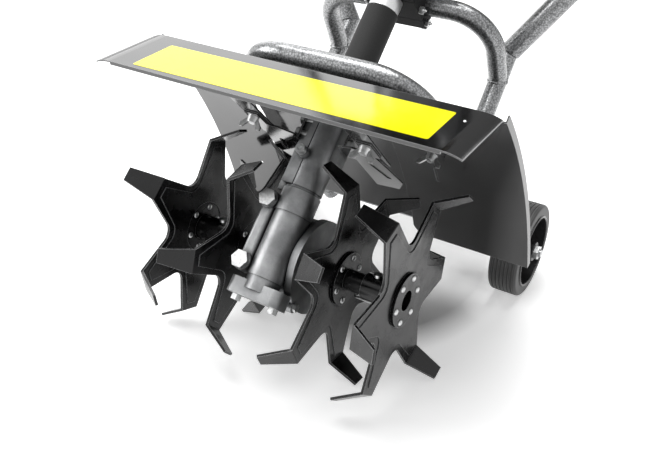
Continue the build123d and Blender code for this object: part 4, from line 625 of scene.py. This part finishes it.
# Hand grips: black rubber with moulded ribs, a collar at the inner end and a rounded outer end
# They are pushed on to the handlebar ends and held by their own stretch
grip_r, grip_length, grip_bore = 16 * mm, 118 * mm, 12.6 * mm
rib_pitch, rib_r, rib_count = 5.2 * mm, 1.9 * mm, 19
grip_collar, grip_round, grip_segments, round_steps, crease = 6 * mm, 5 * mm, 48, 6, 40
rubber_pore = 0.7 * mm
grip_rubber, tree, shader, spot = finish("ribbed_grip_rubber", Roughness=0.6, IOR=1.5)
pores = add(tree, "ShaderNodeTexNoise", {"Vector": spot, "Scale": 1 / rubber_pore, "Detail": 2})
tones = add(tree, "ShaderNodeValToRGB", {"Fac": pores}, ((0.3, "#0e0e0e"), (0.8, "#1c1c1c")))
skin = add(tree, "ShaderNodeBump", {"Height": pores, "Strength": 0.2, "Distance": 0.15 * mm})
paint(tree, shader, Base_Color=tones, Normal=skin)
left_grip = next(mount for mount in frame["record"]["mounts"] if mount["name"] == "grip_left")
grip_dir, grip_middle = Vector(left_grip["axis"]), Vector(left_grip["pos_m"])
core_r, ribs_end = grip_r - rib_r, grip_collar + rib_pitch * rib_count
profile = [(grip_bore, 0), (grip_r, 0), (grip_r, grip_collar)]
profile += [(core_r, grip_collar), (core_r, ribs_end), (grip_r, ribs_end)]
for step in range(1, round_steps + 1):
    turn = radians(90 * step / round_steps)
    profile.append((grip_r - grip_round * (1 - cos(turn)), grip_length - grip_round * (1 - sin(turn))))
profile.append((0, grip_length))
shape = bmesh.new()
places = []
for side in (-1, 1):
    middle = Vector((-side * grip_middle.x, grip_middle.y, grip_middle.z))
    start = middle - grip_dir * grip_length / 2
    turned = Matrix.Translation(start) @ grip_dir.to_track_quat("Z", "X").to_matrix().to_4x4()
    line = [shape.verts.new(turned @ Vector((r, 0, along))) for r, along in profile]
    edges = [shape.edges.new(pair) for pair in zip(line, line[1:])]
    bmesh.ops.spin(
        shape, geom=line + edges, cent=start, axis=grip_dir, angle=2 * pi, steps=grip_segments)
    for rib in range(rib_count):
        places.append((start + grip_dir * (grip_collar + rib_pitch * (rib + 0.5)), grip_dir))
bmesh.ops.remove_doubles(shape, verts=shape.verts, dist=0.01 * mm)
bmesh.ops.recalc_face_normals(shape, faces=shape.faces)
for face in shape.faces:
    face.smooth = True
grip_mesh = bpy.data.meshes.new("grip_sleeves")
shape.to_mesh(grip_mesh)
shape.free()
grip_mesh.set_sharp_from_angle(angle=radians(crease))
grip_mesh.materials.append(grip_rubber)
grips = bpy.data.objects.new("grip_sleeves", grip_mesh)
bpy.context.scene.collection.objects.link(grips)
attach(grips, "chassis")
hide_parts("grips")
scatter("grip_ribs", places, bead, grip_rubber, "chassis", "grip_black",
        radius=core_r, height=rib_r)
